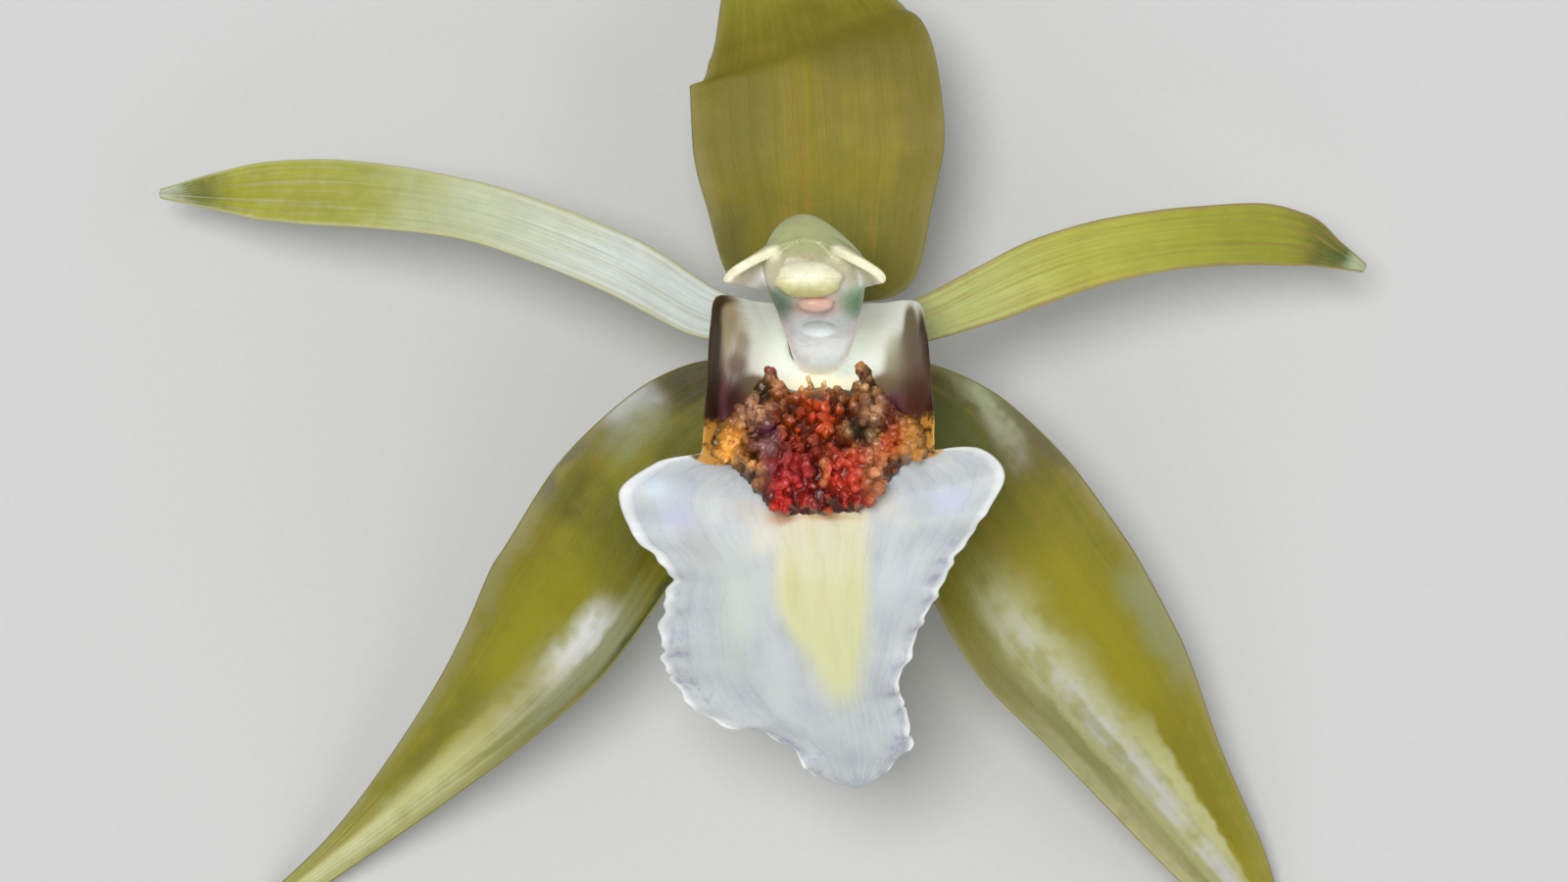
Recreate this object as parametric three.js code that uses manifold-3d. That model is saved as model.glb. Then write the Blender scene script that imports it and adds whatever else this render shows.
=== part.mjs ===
// One coelogyne orchid flower, picked with its stalk and lying on its back, face up.
// Millimetres, +Z up. The flower faces +Z, its dorsal sepal points to +Y and its lip to -Y.
// Five tepals, the lip and the column sit on the flared top of the ovary. The stalk bends over
// at its elbow and lies along the surface under the lip, and the tips of the sepals reach down to it.
import * as THREE from 'three';
import { mergeVertices } from 'three/addons/utils/BufferGeometryUtils.js';
import Module from 'manifold-3d';

const wasm = await Module();
wasm.setup();

// ---------------------------------------------------------------- driving dimensions

const SEAT_HEIGHT = 14.4; // top of the ovary's collar, above the surface
const GAP = 0.3; // clearance between pieces that touch in the living flower
const BLADE = 0.9; // thickness of a tepal beside its midrib
const RIM = 0.6; // thickness of a tepal or the lip at its margin
const KEEL = 0.5; // how far a midrib stands out of the back of a tepal
const KEEL_SHARE = 0.25; // share of a tepal's half width that its midrib takes up
const LIP_BLADE = 0.8; // thickness of the lip
const BASE = SEAT_HEIGHT + GAP + BLADE / 2; // height of a tepal's middle surface where it is seated
const FACET_SAG = 0.12; // how far the flat facets of the lip and its crests stray from its curve
const CREST_GAP = GAP + FACET_SAG + LIP_BLADE / 2; // from the lip's middle surface to its crests

const STALK_RADIUS = 1.5; // pedicel
const OVARY_RADIUS = 2.35;
const COLLAR_RADIUS = 4.7; // flared top of the ovary, which carries the flower
const PRESSED = 0.25; // depth by which the lying stalk is flattened
const OVARY_RIBS = 6;

// Steps of the faceted surfaces, along and across or around each
const SEPAL_GRID = [22, 8];
const PETAL_GRID = [22, 4];
const LIP_GRID = [40, 16];
const CREST_GRID = [10, 12];
const COLUMN_GRID = [20, 16];
const HOOD_GRID = [6, 16];
const STALK_GRID = [26, 24];
const KNOB_GRID = [16, 10];

// ---------------------------------------------------------------- curves and solids

const radians = THREE.MathUtils.degToRad;
const vector = (x, y, z) => new THREE.Vector3(x, y, z);
const UP = vector(0, 0, 1);
const ACROSS = vector(1, 0, 0);

// Values that run smoothly through evenly spaced stations, from 0 at the first to 1 at the last.
// Each piece is a cubic with slopes from the harmonic mean of its neighbours, so it never overshoots.
function track(stations) {
  const last = stations.length - 1;
  const rate = stations.slice(1).map((row, i) => row.map((value, c) => value - stations[i][c]));
  const slope = stations.map((row, i) => row.map((_, c) => {
    const before = rate[Math.max(i - 1, 0)][c];
    const after = rate[Math.min(i, last - 1)][c];
    return before * after > 0 ? (2 * before * after) / (before + after) : 0;
  }));
  return (at) => {
    const place = THREE.MathUtils.clamp(at, 0, 1) * last;
    const i = Math.min(Math.floor(place), last - 1);
    const t = place - i;
    return stations[i].map((start, c) => {
      const end = stations[i + 1][c];
      const ease = t * t * (3 - 2 * t);
      return start + (end - start) * ease + t * (1 - t) * ((1 - t) * slope[i][c] - t * slope[i + 1][c]);
    });
  };
}

// Direction of travel of a point that follows path(at).
function heading(path, at) {
  const step = 0.004;
  const [a, b] = [path(Math.max(at - step, 0)), path(Math.min(at + step, 1))];
  return vector(b[0] - a[0], b[1] - a[1], b[2] - a[2]).normalize();
}

// Where an arc of a given length ends, along and above its start: it sets out at one angle and
// turns evenly to another.
function arcEnd(length, fromAngle, toAngle) {
  const half = (toAngle - fromAngle) / 2;
  const chord = Math.abs(half) < 1e-6 ? length : (length * Math.sin(half)) / half;
  return [chord * Math.cos(fromAngle + half), chord * Math.sin(fromAngle + half)];
}

// Outward normal of the surface point(u, v), by differences.
function normalOf(point, u, v) {
  const step = 0.01;
  const alongU = point(Math.min(u + step, 1), v).sub(point(Math.max(u - step, 0), v));
  const alongV = point(u, Math.min(v + step, 1)).sub(point(u, Math.max(v - step, -1)));
  return alongV.cross(alongU).normalize();
}

// Nothing reaches below the surface that the flower lies on: what would is pressed flat.
const rested = (p) => vector(p.x, p.y, Math.max(p.z, 0));

function geometryOf(vertices, faces) {
  const geometry = new THREE.BufferGeometry();
  const numbers = vertices.flatMap((p) => p.toArray());
  geometry.setAttribute('position', new THREE.Float32BufferAttribute(numbers, 3));
  geometry.setIndex(faces);
  return geometry;
}

// A closed sheet about the surface point(u, v), u from 0 to 1 and v from -1 to 1, that stands
// front(u, v) and back(u, v) off it. Both faces are split into triangles alike.
function sheet(point, front, back, [rows, columns]) {
  const vertices = [];
  const offset = [];
  for (const [side, depth] of [[1, front], [-1, back]]) {
    offset.push(vertices.length);
    for (let i = 0; i <= rows; i++) {
      for (let j = 0; j <= columns; j++) {
        const [u, v] = [i / rows, (2 * j) / columns - 1];
        const shift = normalOf(point, u, v).multiplyScalar(side * depth(u, v));
        vertices.push(rested(point(u, v).add(shift)));
      }
    }
  }
  const at = (face, i, j) => offset[face] + i * (columns + 1) + j;
  const faces = [];
  const quad = (a, b, c, d) => faces.push(a, b, c, a, c, d);
  for (let i = 0; i < rows; i++) {
    for (let j = 0; j < columns; j++) {
      quad(at(0, i, j), at(0, i, j + 1), at(0, i + 1, j + 1), at(0, i + 1, j));
      faces.push(at(1, i, j), at(1, i + 1, j + 1), at(1, i, j + 1));
      faces.push(at(1, i, j), at(1, i + 1, j), at(1, i + 1, j + 1));
    }
    quad(at(0, i, 0), at(0, i + 1, 0), at(1, i + 1, 0), at(1, i, 0));
    quad(at(0, i + 1, columns), at(0, i, columns), at(1, i, columns), at(1, i + 1, columns));
  }
  for (let j = 0; j < columns; j++) {
    quad(at(0, 0, j + 1), at(0, 0, j), at(1, 0, j), at(1, 0, j + 1));
    quad(at(0, rows, j), at(0, rows, j + 1), at(1, rows, j + 1), at(1, rows, j));
  }
  return geometryOf(vertices, faces);
}

// A closed rod: ring(u, turn) is a point of its skin, turn from 0 to 1 anticlockwise as seen from
// the rod's far end, and middle(u) closes its two ends.
function rod(ring, middle, [rows, sides]) {
  const vertices = [];
  for (let i = 0; i <= rows; i++) {
    for (let k = 0; k < sides; k++) vertices.push(ring(i / rows, k / sides));
  }
  const [start, end] = [vertices.length, vertices.length + 1];
  vertices.push(middle(0), middle(1));
  const faces = [];
  for (let k = 0; k < sides; k++) {
    const next = (k + 1) % sides;
    for (let i = 0; i < rows; i++) {
      const [a, b] = [i * sides + k, i * sides + next];
      faces.push(a, b, b + sides, a, b + sides, a + sides);
    }
    faces.push(start, next, k, end, rows * sides + k, rows * sides + next);
  }
  return geometryOf(vertices, faces);
}

// ---------------------------------------------------------------- joining and cutting

function toSolid(geometry) {
  const plain = geometry.clone();
  plain.deleteAttribute('normal');
  plain.deleteAttribute('uv');
  const merged = mergeVertices(plain, 1e-4);
  const mesh = new wasm.Mesh({
    numProp: 3,
    vertProperties: merged.attributes.position.array,
    triVerts: new Uint32Array(merged.index.array),
  });
  return new wasm.Manifold(mesh);
}

function toGeometry(solid) {
  const mesh = solid.getMesh();
  const geometry = new THREE.BufferGeometry();
  geometry.setAttribute('position', new THREE.BufferAttribute(Float32Array.from(mesh.vertProperties), 3));
  geometry.setIndex(new THREE.BufferAttribute(Uint32Array.from(mesh.triVerts), 1));
  return geometry;
}

// The largest body of a solid, with any pocket shut inside it filled.
const outerBody = (solid) => solid.decompose().sort((a, b) => b.volume() - a.volume())[0];

// ---------------------------------------------------------------- tepals

// Each station runs from the seat to the tip: the midrib's place, the half width of the blade to
// either side along its skin, and the angles at which each side rises at the midrib and at its margin.
// Seen from the tip's end with the face up, the first side is the one on the right.
const station = (mid, halves, rises) => [...mid, ...halves, ...rises.map(radians)];

const DORSAL_SEPAL = track([
  station([0.2, 3.5, BASE], [3.0, 3.0], [6, 12, 6, 12]),
  station([0.4, 5.8, BASE + 0.7], [8.4, 8.3], [5, 18, 5, 18]),
  station([0.2, 11.5, 17.0], [10.0, 9.9], [4, 14, 4, 14]),
  station([-0.1, 17.4, 17.9], [11.0, 11.2], [3, 6, 3, 8]),
  station([-0.5, 23.5, 17.7], [10.5, 10.8], [2, -3, 2, -4]),
  station([-1.3, 26.6, 16.6], [7.8, 9.5], [2, -7, 2, -12]),
  station([-2.7, 31.0, 13.6], [6.3, 6.3], [2, -6, 2, -10]),
  station([-4.3, 36.2, 7.8], [4.5, 4.4], [4, 8, 4, 8]),
  station([-5.5, 41.4, 2.9], [2.5, 2.4], [6, 12, 6, 12]),
  station([-6.4, 45.6, 0.15], [0.5, 0.5], [0, 0, 0, 0]),
]);

const LEFT_PETAL = track([
  station([-4.1, 0.8, BASE], [1.4, 1.4], [6, 10, 6, 10]),
  station([-6.8, 1.3, 16.7], [1.8, 1.8], [6, 10, 6, 10]),
  station([-10.0, 2.2, 18.0], [2.3, 2.3], [6, 12, 6, 12]),
  station([-16.8, 6.0, 18.9], [2.7, 2.7], [6, 12, 6, 12]),
  station([-23.7, 8.9, 18.9], [2.7, 2.7], [6, 12, 6, 12]),
  station([-30.6, 11.1, 18.1], [2.65, 2.65], [6, 10, 6, 10]),
  station([-37.5, 12.3, 16.5], [2.85, 2.85], [4, 6, 4, 6]),
  station([-43.5, 12.9, 14.3], [2.95, 2.95], [4, 4, 4, 4]),
  station([-49.0, 13.1, 11.8], [2.6, 2.7], [6, 10, 6, 10]),
  station([-53.8, 13.1, 9.5], [1.6, 1.9], [12, 24, 12, 24]),
  station([-59.2, 13.2, 7.2], [0.4, 0.4], [16, 30, 16, 30]),
]);

const RIGHT_PETAL = track([
  station([4.1, 0.6, BASE], [1.4, 1.4], [6, 10, 6, 10]),
  station([6.8, 0.8, 16.6], [1.8, 1.8], [6, 10, 6, 10]),
  station([10.0, 1.8, 17.8], [2.05, 2.05], [6, 12, 6, 12]),
  station([14.8, 4.1, 18.4], [2.25, 2.9], [6, 12, 6, 12]),
  station([20.2, 6.4, 18.6], [2.55, 3.3], [6, 12, 6, 12]),
  station([26.0, 8.0, 18.1], [2.55, 3.1], [6, 10, 6, 10]),
  station([32.7, 8.9, 16.8], [2.6, 2.8], [4, 6, 4, 6]),
  station([38.8, 9.2, 14.6], [2.75, 2.75], [4, 4, 4, 4]),
  station([42.8, 8.9, 12.8], [2.3, 2.5], [6, 10, 6, 10]),
  station([45.9, 7.7, 11.4], [1.3, 1.5], [12, 24, 12, 24]),
  station([48.9, 6.4, 9.9], [0.4, 0.4], [16, 30, 16, 30]),
]);

// The first side is the inner one, by the lip, which stands up steeply out of the channel.
const LEFT_LATERAL_SEPAL = track([
  station([-3.0, -3.4, BASE], [2.1, 2.4], [8, 14, 4, 8]),
  station([-5.9, -6.0, 15.0], [4.0, 5.6], [14, 30, 4, 8]),
  station([-10.0, -10.0, 14.6], [6.0, 8.2], [22, 48, 3, 8]),
  station([-15.0, -17.2, 13.4], [7.2, 10.2], [34, 72, 2, 8]),
  station([-19.8, -25.4, 11.8], [7.4, 10.6], [44, 82, 2, 8]),
  station([-26.6, -33.0, 9.3], [5.8, 8.1], [46, 82, 2, 10]),
  station([-35.2, -40.2, 5.8], [3.9, 4.6], [42, 74, 6, 20]),
  station([-44.1, -47.0, 2.3], [2.4, 1.7], [34, 60, 14, 30]),
  station([-52.2, -53.2, 0.15], [0.5, 0.5], [0, 0, 0, 0]),
]);

// The first side is the outer one here.
const RIGHT_LATERAL_SEPAL = track([
  station([3.0, -3.4, BASE], [2.4, 2.1], [4, 8, 8, 14]),
  station([5.8, -6.2, 15.0], [5.8, 3.8], [4, 8, 12, 26]),
  station([9.4, -10.6, 14.6], [8.8, 6.0], [3, 8, 18, 40]),
  station([13.8, -17.4, 13.6], [10.8, 7.6], [2, 8, 24, 52]),
  station([18.2, -24.7, 12.3], [11.5, 8.4], [2, 8, 26, 54]),
  station([24.6, -32.5, 10.2], [9.8, 7.4], [2, 8, 28, 54]),
  station([31.3, -40.5, 7.2], [6.3, 6.0], [4, 12, 24, 48]),
  station([37.4, -48.2, 3.8], [3.9, 4.3], [8, 20, 20, 40]),
  station([41.8, -54.4, 1.3], [1.6, 2.0], [6, 12, 10, 20]),
  station([44.6, -58.6, 0.15], [0.5, 0.5], [0, 0, 0, 0]),
]);

const RIPPLE_FADE = 0.25; // share of a tepal's length, at each end, over which its margins calm down
const BROAD_RIPPLE = { depth: 0.35, count: 2.2, shift: 1.4 };
const SLIGHT_RIPPLE = { depth: 0.12, count: 2.0, shift: 1.0 };

// The middle surface of a tepal: a midrib that carries two sides, each an arc in the plane across it.
function tepalSurface(blade, ripple) {
  return (u, v) => {
    const [x, y, z, first, second, firstRoot, firstRim, secondRoot, secondRim] = blade(u);
    const along = heading(blade, u);
    const up = UP.clone().addScaledVector(along, -UP.dot(along)).normalize();
    const across = along.clone().cross(up);
    const t = Math.abs(v);
    const [half, root, rim] = v < 0 ? [first, firstRoot, firstRim] : [second, secondRoot, secondRim];
    const [aside, above] = arcEnd(half * t, root, root + (rim - root) * t);
    const wave = ripple.depth * t * t * Math.sin(2 * Math.PI * ripple.count * u + (v < 0 ? 0 : ripple.shift));
    const fade = Math.min(1, u / RIPPLE_FADE, (1 - u) / RIPPLE_FADE);
    return vector(x, y, z)
      .addScaledVector(across, Math.sign(v) * aside)
      .addScaledVector(up, above + wave * fade);
  };
}

function tepal(blade, ripple, grid) {
  const thickness = (v) => RIM + (BLADE - RIM) * (1 - v * v);
  const front = (u, v) => thickness(v) / 2;
  const keel = (u, v) => KEEL * Math.max(0, 1 - Math.abs(v) / KEEL_SHARE) * Math.sin(Math.PI * u);
  const back = (u, v) => thickness(v) / 2 + keel(u, v);
  return sheet(tepalSurface(blade, ripple), front, back, grid);
}

// ---------------------------------------------------------------- lip

// From the base to the tip: the midline's place, the half width of its flat floor, the radius of
// the bend at the foot of the side walls, the angle of the walls, and the half widths of the whole
// lip to its right and left margins, along its skin. The walls are the side lobes, which flank the
// column. The margins draw in to a notch at the eighth station and flare into the ears of the midlobe,
// which reach back towards the column by the last two amounts.
const lipStation = (mid, floor, bend, wall, halves, ears) => {
  return [...mid, floor, bend, radians(wall), ...halves, ...ears];
};

const LIP = track([
  lipStation([0, -2.95, SEAT_HEIGHT + GAP + 0.1], 0.9, 1.9, 80, [5.2, 5.2], [0, 0]),
  lipStation([0, -3.0, 18.2], 0.9, 2.1, 84, [7.6, 7.6], [0, 0]),
  lipStation([0, -3.3, 21.8], 1.6, 2.4, 68, [9.6, 9.8], [0, 0]),
  lipStation([0, -4.1, 25.3], 2.8, 2.8, 60, [12.4, 13.0], [0, 0]),
  lipStation([0, -5.6, 28.2], 4.4, 2.8, 68, [13.2, 13.8], [0, 0]),
  lipStation([0, -7.5, 30.4], 6.0, 2.8, 72, [12.0, 12.4], [0, 0]),
  lipStation([0, -9.5, 31.8], 7.0, 3.0, 58, [10.2, 10.6], [0, 0]),
  lipStation([0, -11.2, 32.5], 7.8, 3.2, 32, [9.8, 10.2], [1.2, 0.9]),
  lipStation([0, -12.5, 33.0], 8.6, 4.0, 10, [13.6, 13.8], [2.4, 1.6]),
  lipStation([0, -14.2, 33.4], 9.0, 5.0, 6, [15.7, 17.0], [1.7, 1.2]),
  lipStation([0.1, -16.6, 33.6], 9.0, 5.0, -4, [14.0, 15.5], [0.9, 0.5]),
  lipStation([0.3, -19.8, 33.5], 8.0, 5.0, -12, [11.2, 13.1], [0, 0]),
  lipStation([0.6, -23.6, 32.9], 7.0, 5.0, -16, [9.0, 14.4], [0, 0]),
  lipStation([1.1, -27.4, 31.7], 6.0, 5.0, -14, [7.0, 14.7], [0, 0]),
  lipStation([1.6, -30.6, 30.3], 5.0, 5.0, -12, [5.1, 12.9], [0, 0]),
  lipStation([2.1, -33.2, 28.9], 4.0, 4.0, -10, [5.4, 7.6], [0, 0]),
  lipStation([2.6, -35.6, 27.4], 3.0, 4.0, -8, [5.5, 4.3], [0, 0]),
  lipStation([3.0, -37.6, 26.0], 2.0, 4.0, -6, [3.2, 3.3], [0, 0]),
  lipStation([3.2, -38.7, 25.1], 1.0, 4.0, 0, [0.7, 0.7], [0, 0]),
]);

const FRILL_START = 0.46; // share of the lip's length where its margin begins to wave
const FRILL_RISE = 0.1; // share over which the waves grow
const FRILL_CALM = 0.12; // share over which they fade before the tip
const FRILL_DEPTH = 0.75;
const FRILL_COUNT = 9;
const FRILL_PHASES = [2.4, 0.6]; // of the right and the left margin

// The middle surface of the lip: v runs from its right margin to its left one, so that the face
// that looks at the column is the outward side of the surface.
function lipSurface(s, v) {
  const [x, y, z, floor, bend, wall, right, left, rightEar, leftEar] = LIP(s);
  const along = heading(LIP, s);
  const across = ACROSS.clone().addScaledVector(along, -ACROSS.dot(along)).normalize().negate();
  const inward = across.clone().cross(along);
  const arc = Math.abs(v) * (v < 0 ? right : left);
  const steep = Math.abs(wall);
  const turned = THREE.MathUtils.clamp((arc - floor) / bend, 0, steep);
  const beyond = Math.max(arc - floor - bend * steep, 0);
  const aside = Math.min(arc, floor) + bend * Math.sin(turned) + beyond * Math.cos(steep);
  const above = bend * (1 - Math.cos(turned)) + beyond * Math.sin(steep);
  const waving = THREE.MathUtils.smoothstep(s, FRILL_START, FRILL_START + FRILL_RISE) * Math.abs(v) ** 3;
  const calm = THREE.MathUtils.smoothstep(1 - s, 0, FRILL_CALM);
  const phase = FRILL_PHASES[v < 0 ? 0 : 1];
  const frill = FRILL_DEPTH * waving * calm * Math.sin(2 * Math.PI * FRILL_COUNT * s + phase);
  return vector(x, y, z)
    .addScaledVector(across, Math.sign(v) * aside)
    .addScaledVector(inward, Math.sign(wall) * above + frill)
    .addScaledVector(along, -(v < 0 ? rightEar : leftEar) * v * v);
}

function lip() {
  const half = (s, v) => (RIM + (LIP_BLADE - RIM) * (1 - v * v)) / 2;
  return sheet(lipSurface, half, half, LIP_GRID);
}

// ---------------------------------------------------------------- crests on the lip

// The pad that the crests grow from covers the lip's floor from the throat to the midlobe. Its
// half width, along the lip's skin, at even steps from CREST_START to CREST_END.
const CREST_START = 0.225;
const CREST_END = 0.525;
const CREST_HALF_WIDTH = track([[4.6], [7.2], [9.1], [8.4], [7.2], [5.4], [3.2]]);
const PAD = 0.7;
const RIDGES = [-3.8, 0, 3.8]; // the keels, from the lip's midline
const RIDGE_HEIGHT = 1.3;
const RIDGE_WIDTH = 1.1;
const RIDGE_RISE = 0.2; // share of the pad's length over which a keel comes up
const MIDDLE_RIDGE_START = 0.3;

function padPoint(u, v, lift) {
  const s = CREST_START + (CREST_END - CREST_START) * u;
  const [, , , , , , right, left] = LIP(s);
  const arc = v * CREST_HALF_WIDTH(u)[0];
  const place = arc / (arc < 0 ? right : left);
  return lipSurface(s, place).addScaledVector(normalOf(lipSurface, s, place), CREST_GAP + lift);
}

// How far the keels stand out of the pad, arc millimetres from the midline. The middle keel starts
// further down than the two beside it.
const ridgeLift = (arc, u) => RIDGES.reduce((sum, place) => {
  const start = place === 0 ? MIDDLE_RIDGE_START : 0;
  const along = THREE.MathUtils.smoothstep(u, start, start + RIDGE_RISE);
  return sum + along * RIDGE_HEIGHT * Math.exp(-(((arc - place) / RIDGE_WIDTH) ** 2));
}, 0);

function crestPad() {
  const middle = (u, v) => padPoint(u, v, PAD / 2);
  const front = (u, v) => PAD / 2 + ridgeLift(v * CREST_HALF_WIDTH(u)[0], u);
  const back = () => PAD / 2;
  return sheet(middle, front, back, CREST_GRID);
}

// Evenly spread random numbers from a fixed start.
function seededRandom(seed) {
  let state = seed;
  return () => {
    state = (state * 1664525 + 1013904223) % 4294967296;
    return state / 4294967296;
  };
}

// A finger of the crest: a blunt knob that stands on a root along a direction. Its profile gives
// heights, as shares of the knob's, and radii, as shares of its radius.
const WART_SIDES = 5;
const WART_PROFILE = [[-0.16, 0.9], [0.45, 1.0], [0.85, 0.75]];
const WART_TOP = 1.05;

function wart(root, direction, radius, height) {
  const sideways = direction.clone().cross(ACROSS).normalize();
  const other = direction.clone().cross(sideways).normalize();
  const last = WART_PROFILE.length - 1;
  const ring = (u, turn) => {
    const [up, wide] = WART_PROFILE[Math.round(u * last)];
    const angle = 2 * Math.PI * turn;
    return root.clone()
      .addScaledVector(direction, up * height)
      .addScaledVector(sideways, wide * radius * Math.cos(angle))
      .addScaledVector(other, wide * radius * Math.sin(angle));
  };
  const bottom = WART_PROFILE[0][0];
  const middle = (u) => root.clone().addScaledVector(direction, (u === 0 ? bottom : WART_TOP) * height);
  return rod(ring, middle, [last, WART_SIDES]);
}

// Rows of warts: the place of each row from the midline, its first and last share of the pad's
// length, and how many it holds. The outer rows climb the foot of the side lobes.
const WART_ROWS = [
  { arc: -8.1, from: 0.3, to: 0.5, count: 3 },
  { arc: -6.4, from: 0.2, to: 0.7, count: 7 },
  { arc: -3.9, from: 0.02, to: 0.95, count: 12 },
  { arc: -1.9, from: 0.14, to: 0.94, count: 9 },
  { arc: 0.0, from: 0.08, to: 0.9, count: 9 },
  { arc: 1.9, from: 0.14, to: 0.94, count: 9 },
  { arc: 3.9, from: 0.02, to: 0.95, count: 12 },
  { arc: 6.4, from: 0.2, to: 0.7, count: 7 },
  { arc: 8.1, from: 0.3, to: 0.5, count: 3 },
];
const WART_RADIUS = 0.75;
const WART_HEIGHT = 1.6;
const WART_SIZES = [0.85, 1.2]; // smallest and largest, as shares of the sizes above
const WART_STRAY = { along: 0.02, across: 0.7, lean: 0.7 }; // how far a wart strays from its row
const WART_SINK = 0.3; // share of a keel's height by which the warts on it are sunk in

function crests() {
  const random = seededRandom(11);
  const spread = (amount) => amount * (random() - 0.5);
  const parts = [toSolid(crestPad())];
  for (const row of WART_ROWS) {
    for (let k = 0; k < row.count; k++) {
      const u = row.from + ((row.to - row.from) * k) / (row.count - 1) + spread(WART_STRAY.along);
      const arc = row.arc + spread(WART_STRAY.across);
      const v = arc / CREST_HALF_WIDTH(u)[0];
      const root = padPoint(u, v, PAD + (1 - WART_SINK) * ridgeLift(arc, u));
      const direction = normalOf((a, b) => padPoint(a, b, PAD), u, v);
      direction.add(vector(spread(WART_STRAY.lean), spread(WART_STRAY.lean), 0)).normalize();
      const size = THREE.MathUtils.lerp(...WART_SIZES, random());
      parts.push(toSolid(wart(root, direction, WART_RADIUS * size, WART_HEIGHT * size)));
    }
  }
  return toGeometry(outerBody(wasm.Manifold.union(parts)));
}

// ---------------------------------------------------------------- column and anther cap

// Level sections from the seat to the apex: height, where the middle stands across the flower, the
// half width, and how far the front (which faces the lip) and the back reach along Y. The column
// leans back from the lip, its front reaches out over the throat and its apex nods a little left.
const COLUMN = track([
  [SEAT_HEIGHT + GAP, 0.0, 2.2, -2.1, 2.4],
  [18.5, 0.0, 2.2, -2.2, 2.8],
  [22.3, 0.0, 2.3, -2.5, 3.8],
  [26.1, 0.0, 2.6, -3.6, 5.4],
  [29.9, 0.1, 3.2, -2.8, 7.8],
  [33.0, -0.1, 3.9, -0.5, 9.7],
  [35.6, -0.5, 4.2, 1.4, 9.9],
  [37.4, -1.0, 3.6, 2.7, 8.4],
  [38.2, -1.2, 1.8, 3.8, 6.2],
]);

const FRONT_SQUARENESS = 0.6; // below 1 the column's front is broader than an ellipse
const BACK_TAPER = 0.2; // share by which its back is narrower than an ellipse
const BACK_SHIFT = 0.9; // how far the back of its upper part stands to the left of its middle
const SHIFT_SPAN = [28.0, 33.0]; // heights between which that shift comes in

function columnBody() {
  const ring = (s, turn) => {
    const [z, x, half, front, back] = COLUMN(s);
    const angle = 2 * Math.PI * turn;
    const aside = Math.cos(angle);
    const broad = Math.sin(angle) < 0 ? Math.sign(aside) * Math.abs(aside) ** FRONT_SQUARENESS : aside;
    const behind = THREE.MathUtils.smoothstep(Math.sin(angle), 0, 1);
    const shift = BACK_SHIFT * behind * THREE.MathUtils.smoothstep(z, ...SHIFT_SPAN);
    const reach = (front + back) / 2 + ((back - front) / 2) * Math.sin(angle);
    return vector(x - shift + half * broad * (1 - BACK_TAPER * behind), reach, z);
  };
  const middle = (s) => {
    const [z, x, , front, back] = COLUMN(s);
    return vector(x, (front + back) / 2, z);
  };
  return rod(ring, middle, COLUMN_GRID);
}

// The hood: a wing round the back of the apex. v runs from its right tip over the top to its left
// tip, and u from its root inside the column to its free rim: height, where the arch stands across
// the flower, where its tips stand along it, its half width and its rise.
const HOOD = track([
  [30.6, -0.4, 3.0, 2.5, 3.2],
  [34.2, -0.8, 3.4, 3.7, 5.2],
  [37.2, -1.1, 3.8, 5.3, 4.2],
  [39.4, -1.3, 4.0, 6.6, 2.7],
]);
const HOOD_BLADE = 0.9;
const HOOD_ROUNDNESS = [1.7, 1.2]; // powers by which the arch falls to its tips, at root and rim
const HOOD_DROOP = 0.8; // how much lower the tips are than the crown
const NOTCH_WIDTH = 0.36; // of the notch in the hood's rim, as a share of its half length
const NOTCH_DEPTH = 1.9;
const NOTCH_LEAN = 0.7; // how far the notch leans back
const NOTCH_START = 0.35; // share of the way to the rim where the notch sets in

function hoodSurface(u, v) {
  const [height, x, y, half, rise] = HOOD(u);
  const notch = Math.exp(-((v / NOTCH_WIDTH) ** 2)) * THREE.MathUtils.smoothstep(u, NOTCH_START, 1);
  const arch = rise * (1 - Math.abs(v) ** THREE.MathUtils.lerp(...HOOD_ROUNDNESS, u)) + NOTCH_LEAN * notch;
  const z = height - HOOD_DROOP * v * v * u - NOTCH_DEPTH * notch;
  return vector(x - half * Math.sin((Math.PI / 2) * v), y + arch, z);
}

// The anther cap, the rostellum below it and the hollow of the stigma are round: middle and half
// sizes.
const ANTHER_CENTRE = vector(-1.0, 4.35, 38.7);
const ANTHER_HALF = vector(2.8, 1.5, 1.45);
const POCKET_SAG = 0.06; // the pocket's flat facets cut inside its curve by this much
const ROSTELLUM_CENTRE = vector(-0.4, 2.35, 37.2);
const ROSTELLUM_HALF = vector(1.5, 0.8, 0.8);
const STIGMA_CENTRE = vector(-0.1, -0.35, 35.15);
const STIGMA_HALF = vector(2.4, 1.3, 1.9);

function ellipsoid(centre, half) {
  const geometry = new THREE.SphereGeometry(1, ...KNOB_GRID);
  geometry.rotateX(Math.PI / 2);
  geometry.scale(half.x, half.y, half.z);
  return geometry.translate(centre.x, centre.y, centre.z);
}

function column() {
  const halfBlade = () => HOOD_BLADE / 2;
  const whole = wasm.Manifold.union([
    toSolid(columnBody()),
    toSolid(sheet(hoodSurface, halfBlade, halfBlade, HOOD_GRID)),
    toSolid(ellipsoid(ROSTELLUM_CENTRE, ROSTELLUM_HALF)),
  ]);
  const pocket = ellipsoid(ANTHER_CENTRE, ANTHER_HALF.clone().addScalar(GAP + POCKET_SAG));
  const stigma = ellipsoid(STIGMA_CENTRE, STIGMA_HALF);
  return toGeometry(outerBody(whole.subtract(toSolid(pocket)).subtract(toSolid(stigma))));
}

// ---------------------------------------------------------------- ovary and stalk

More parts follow.
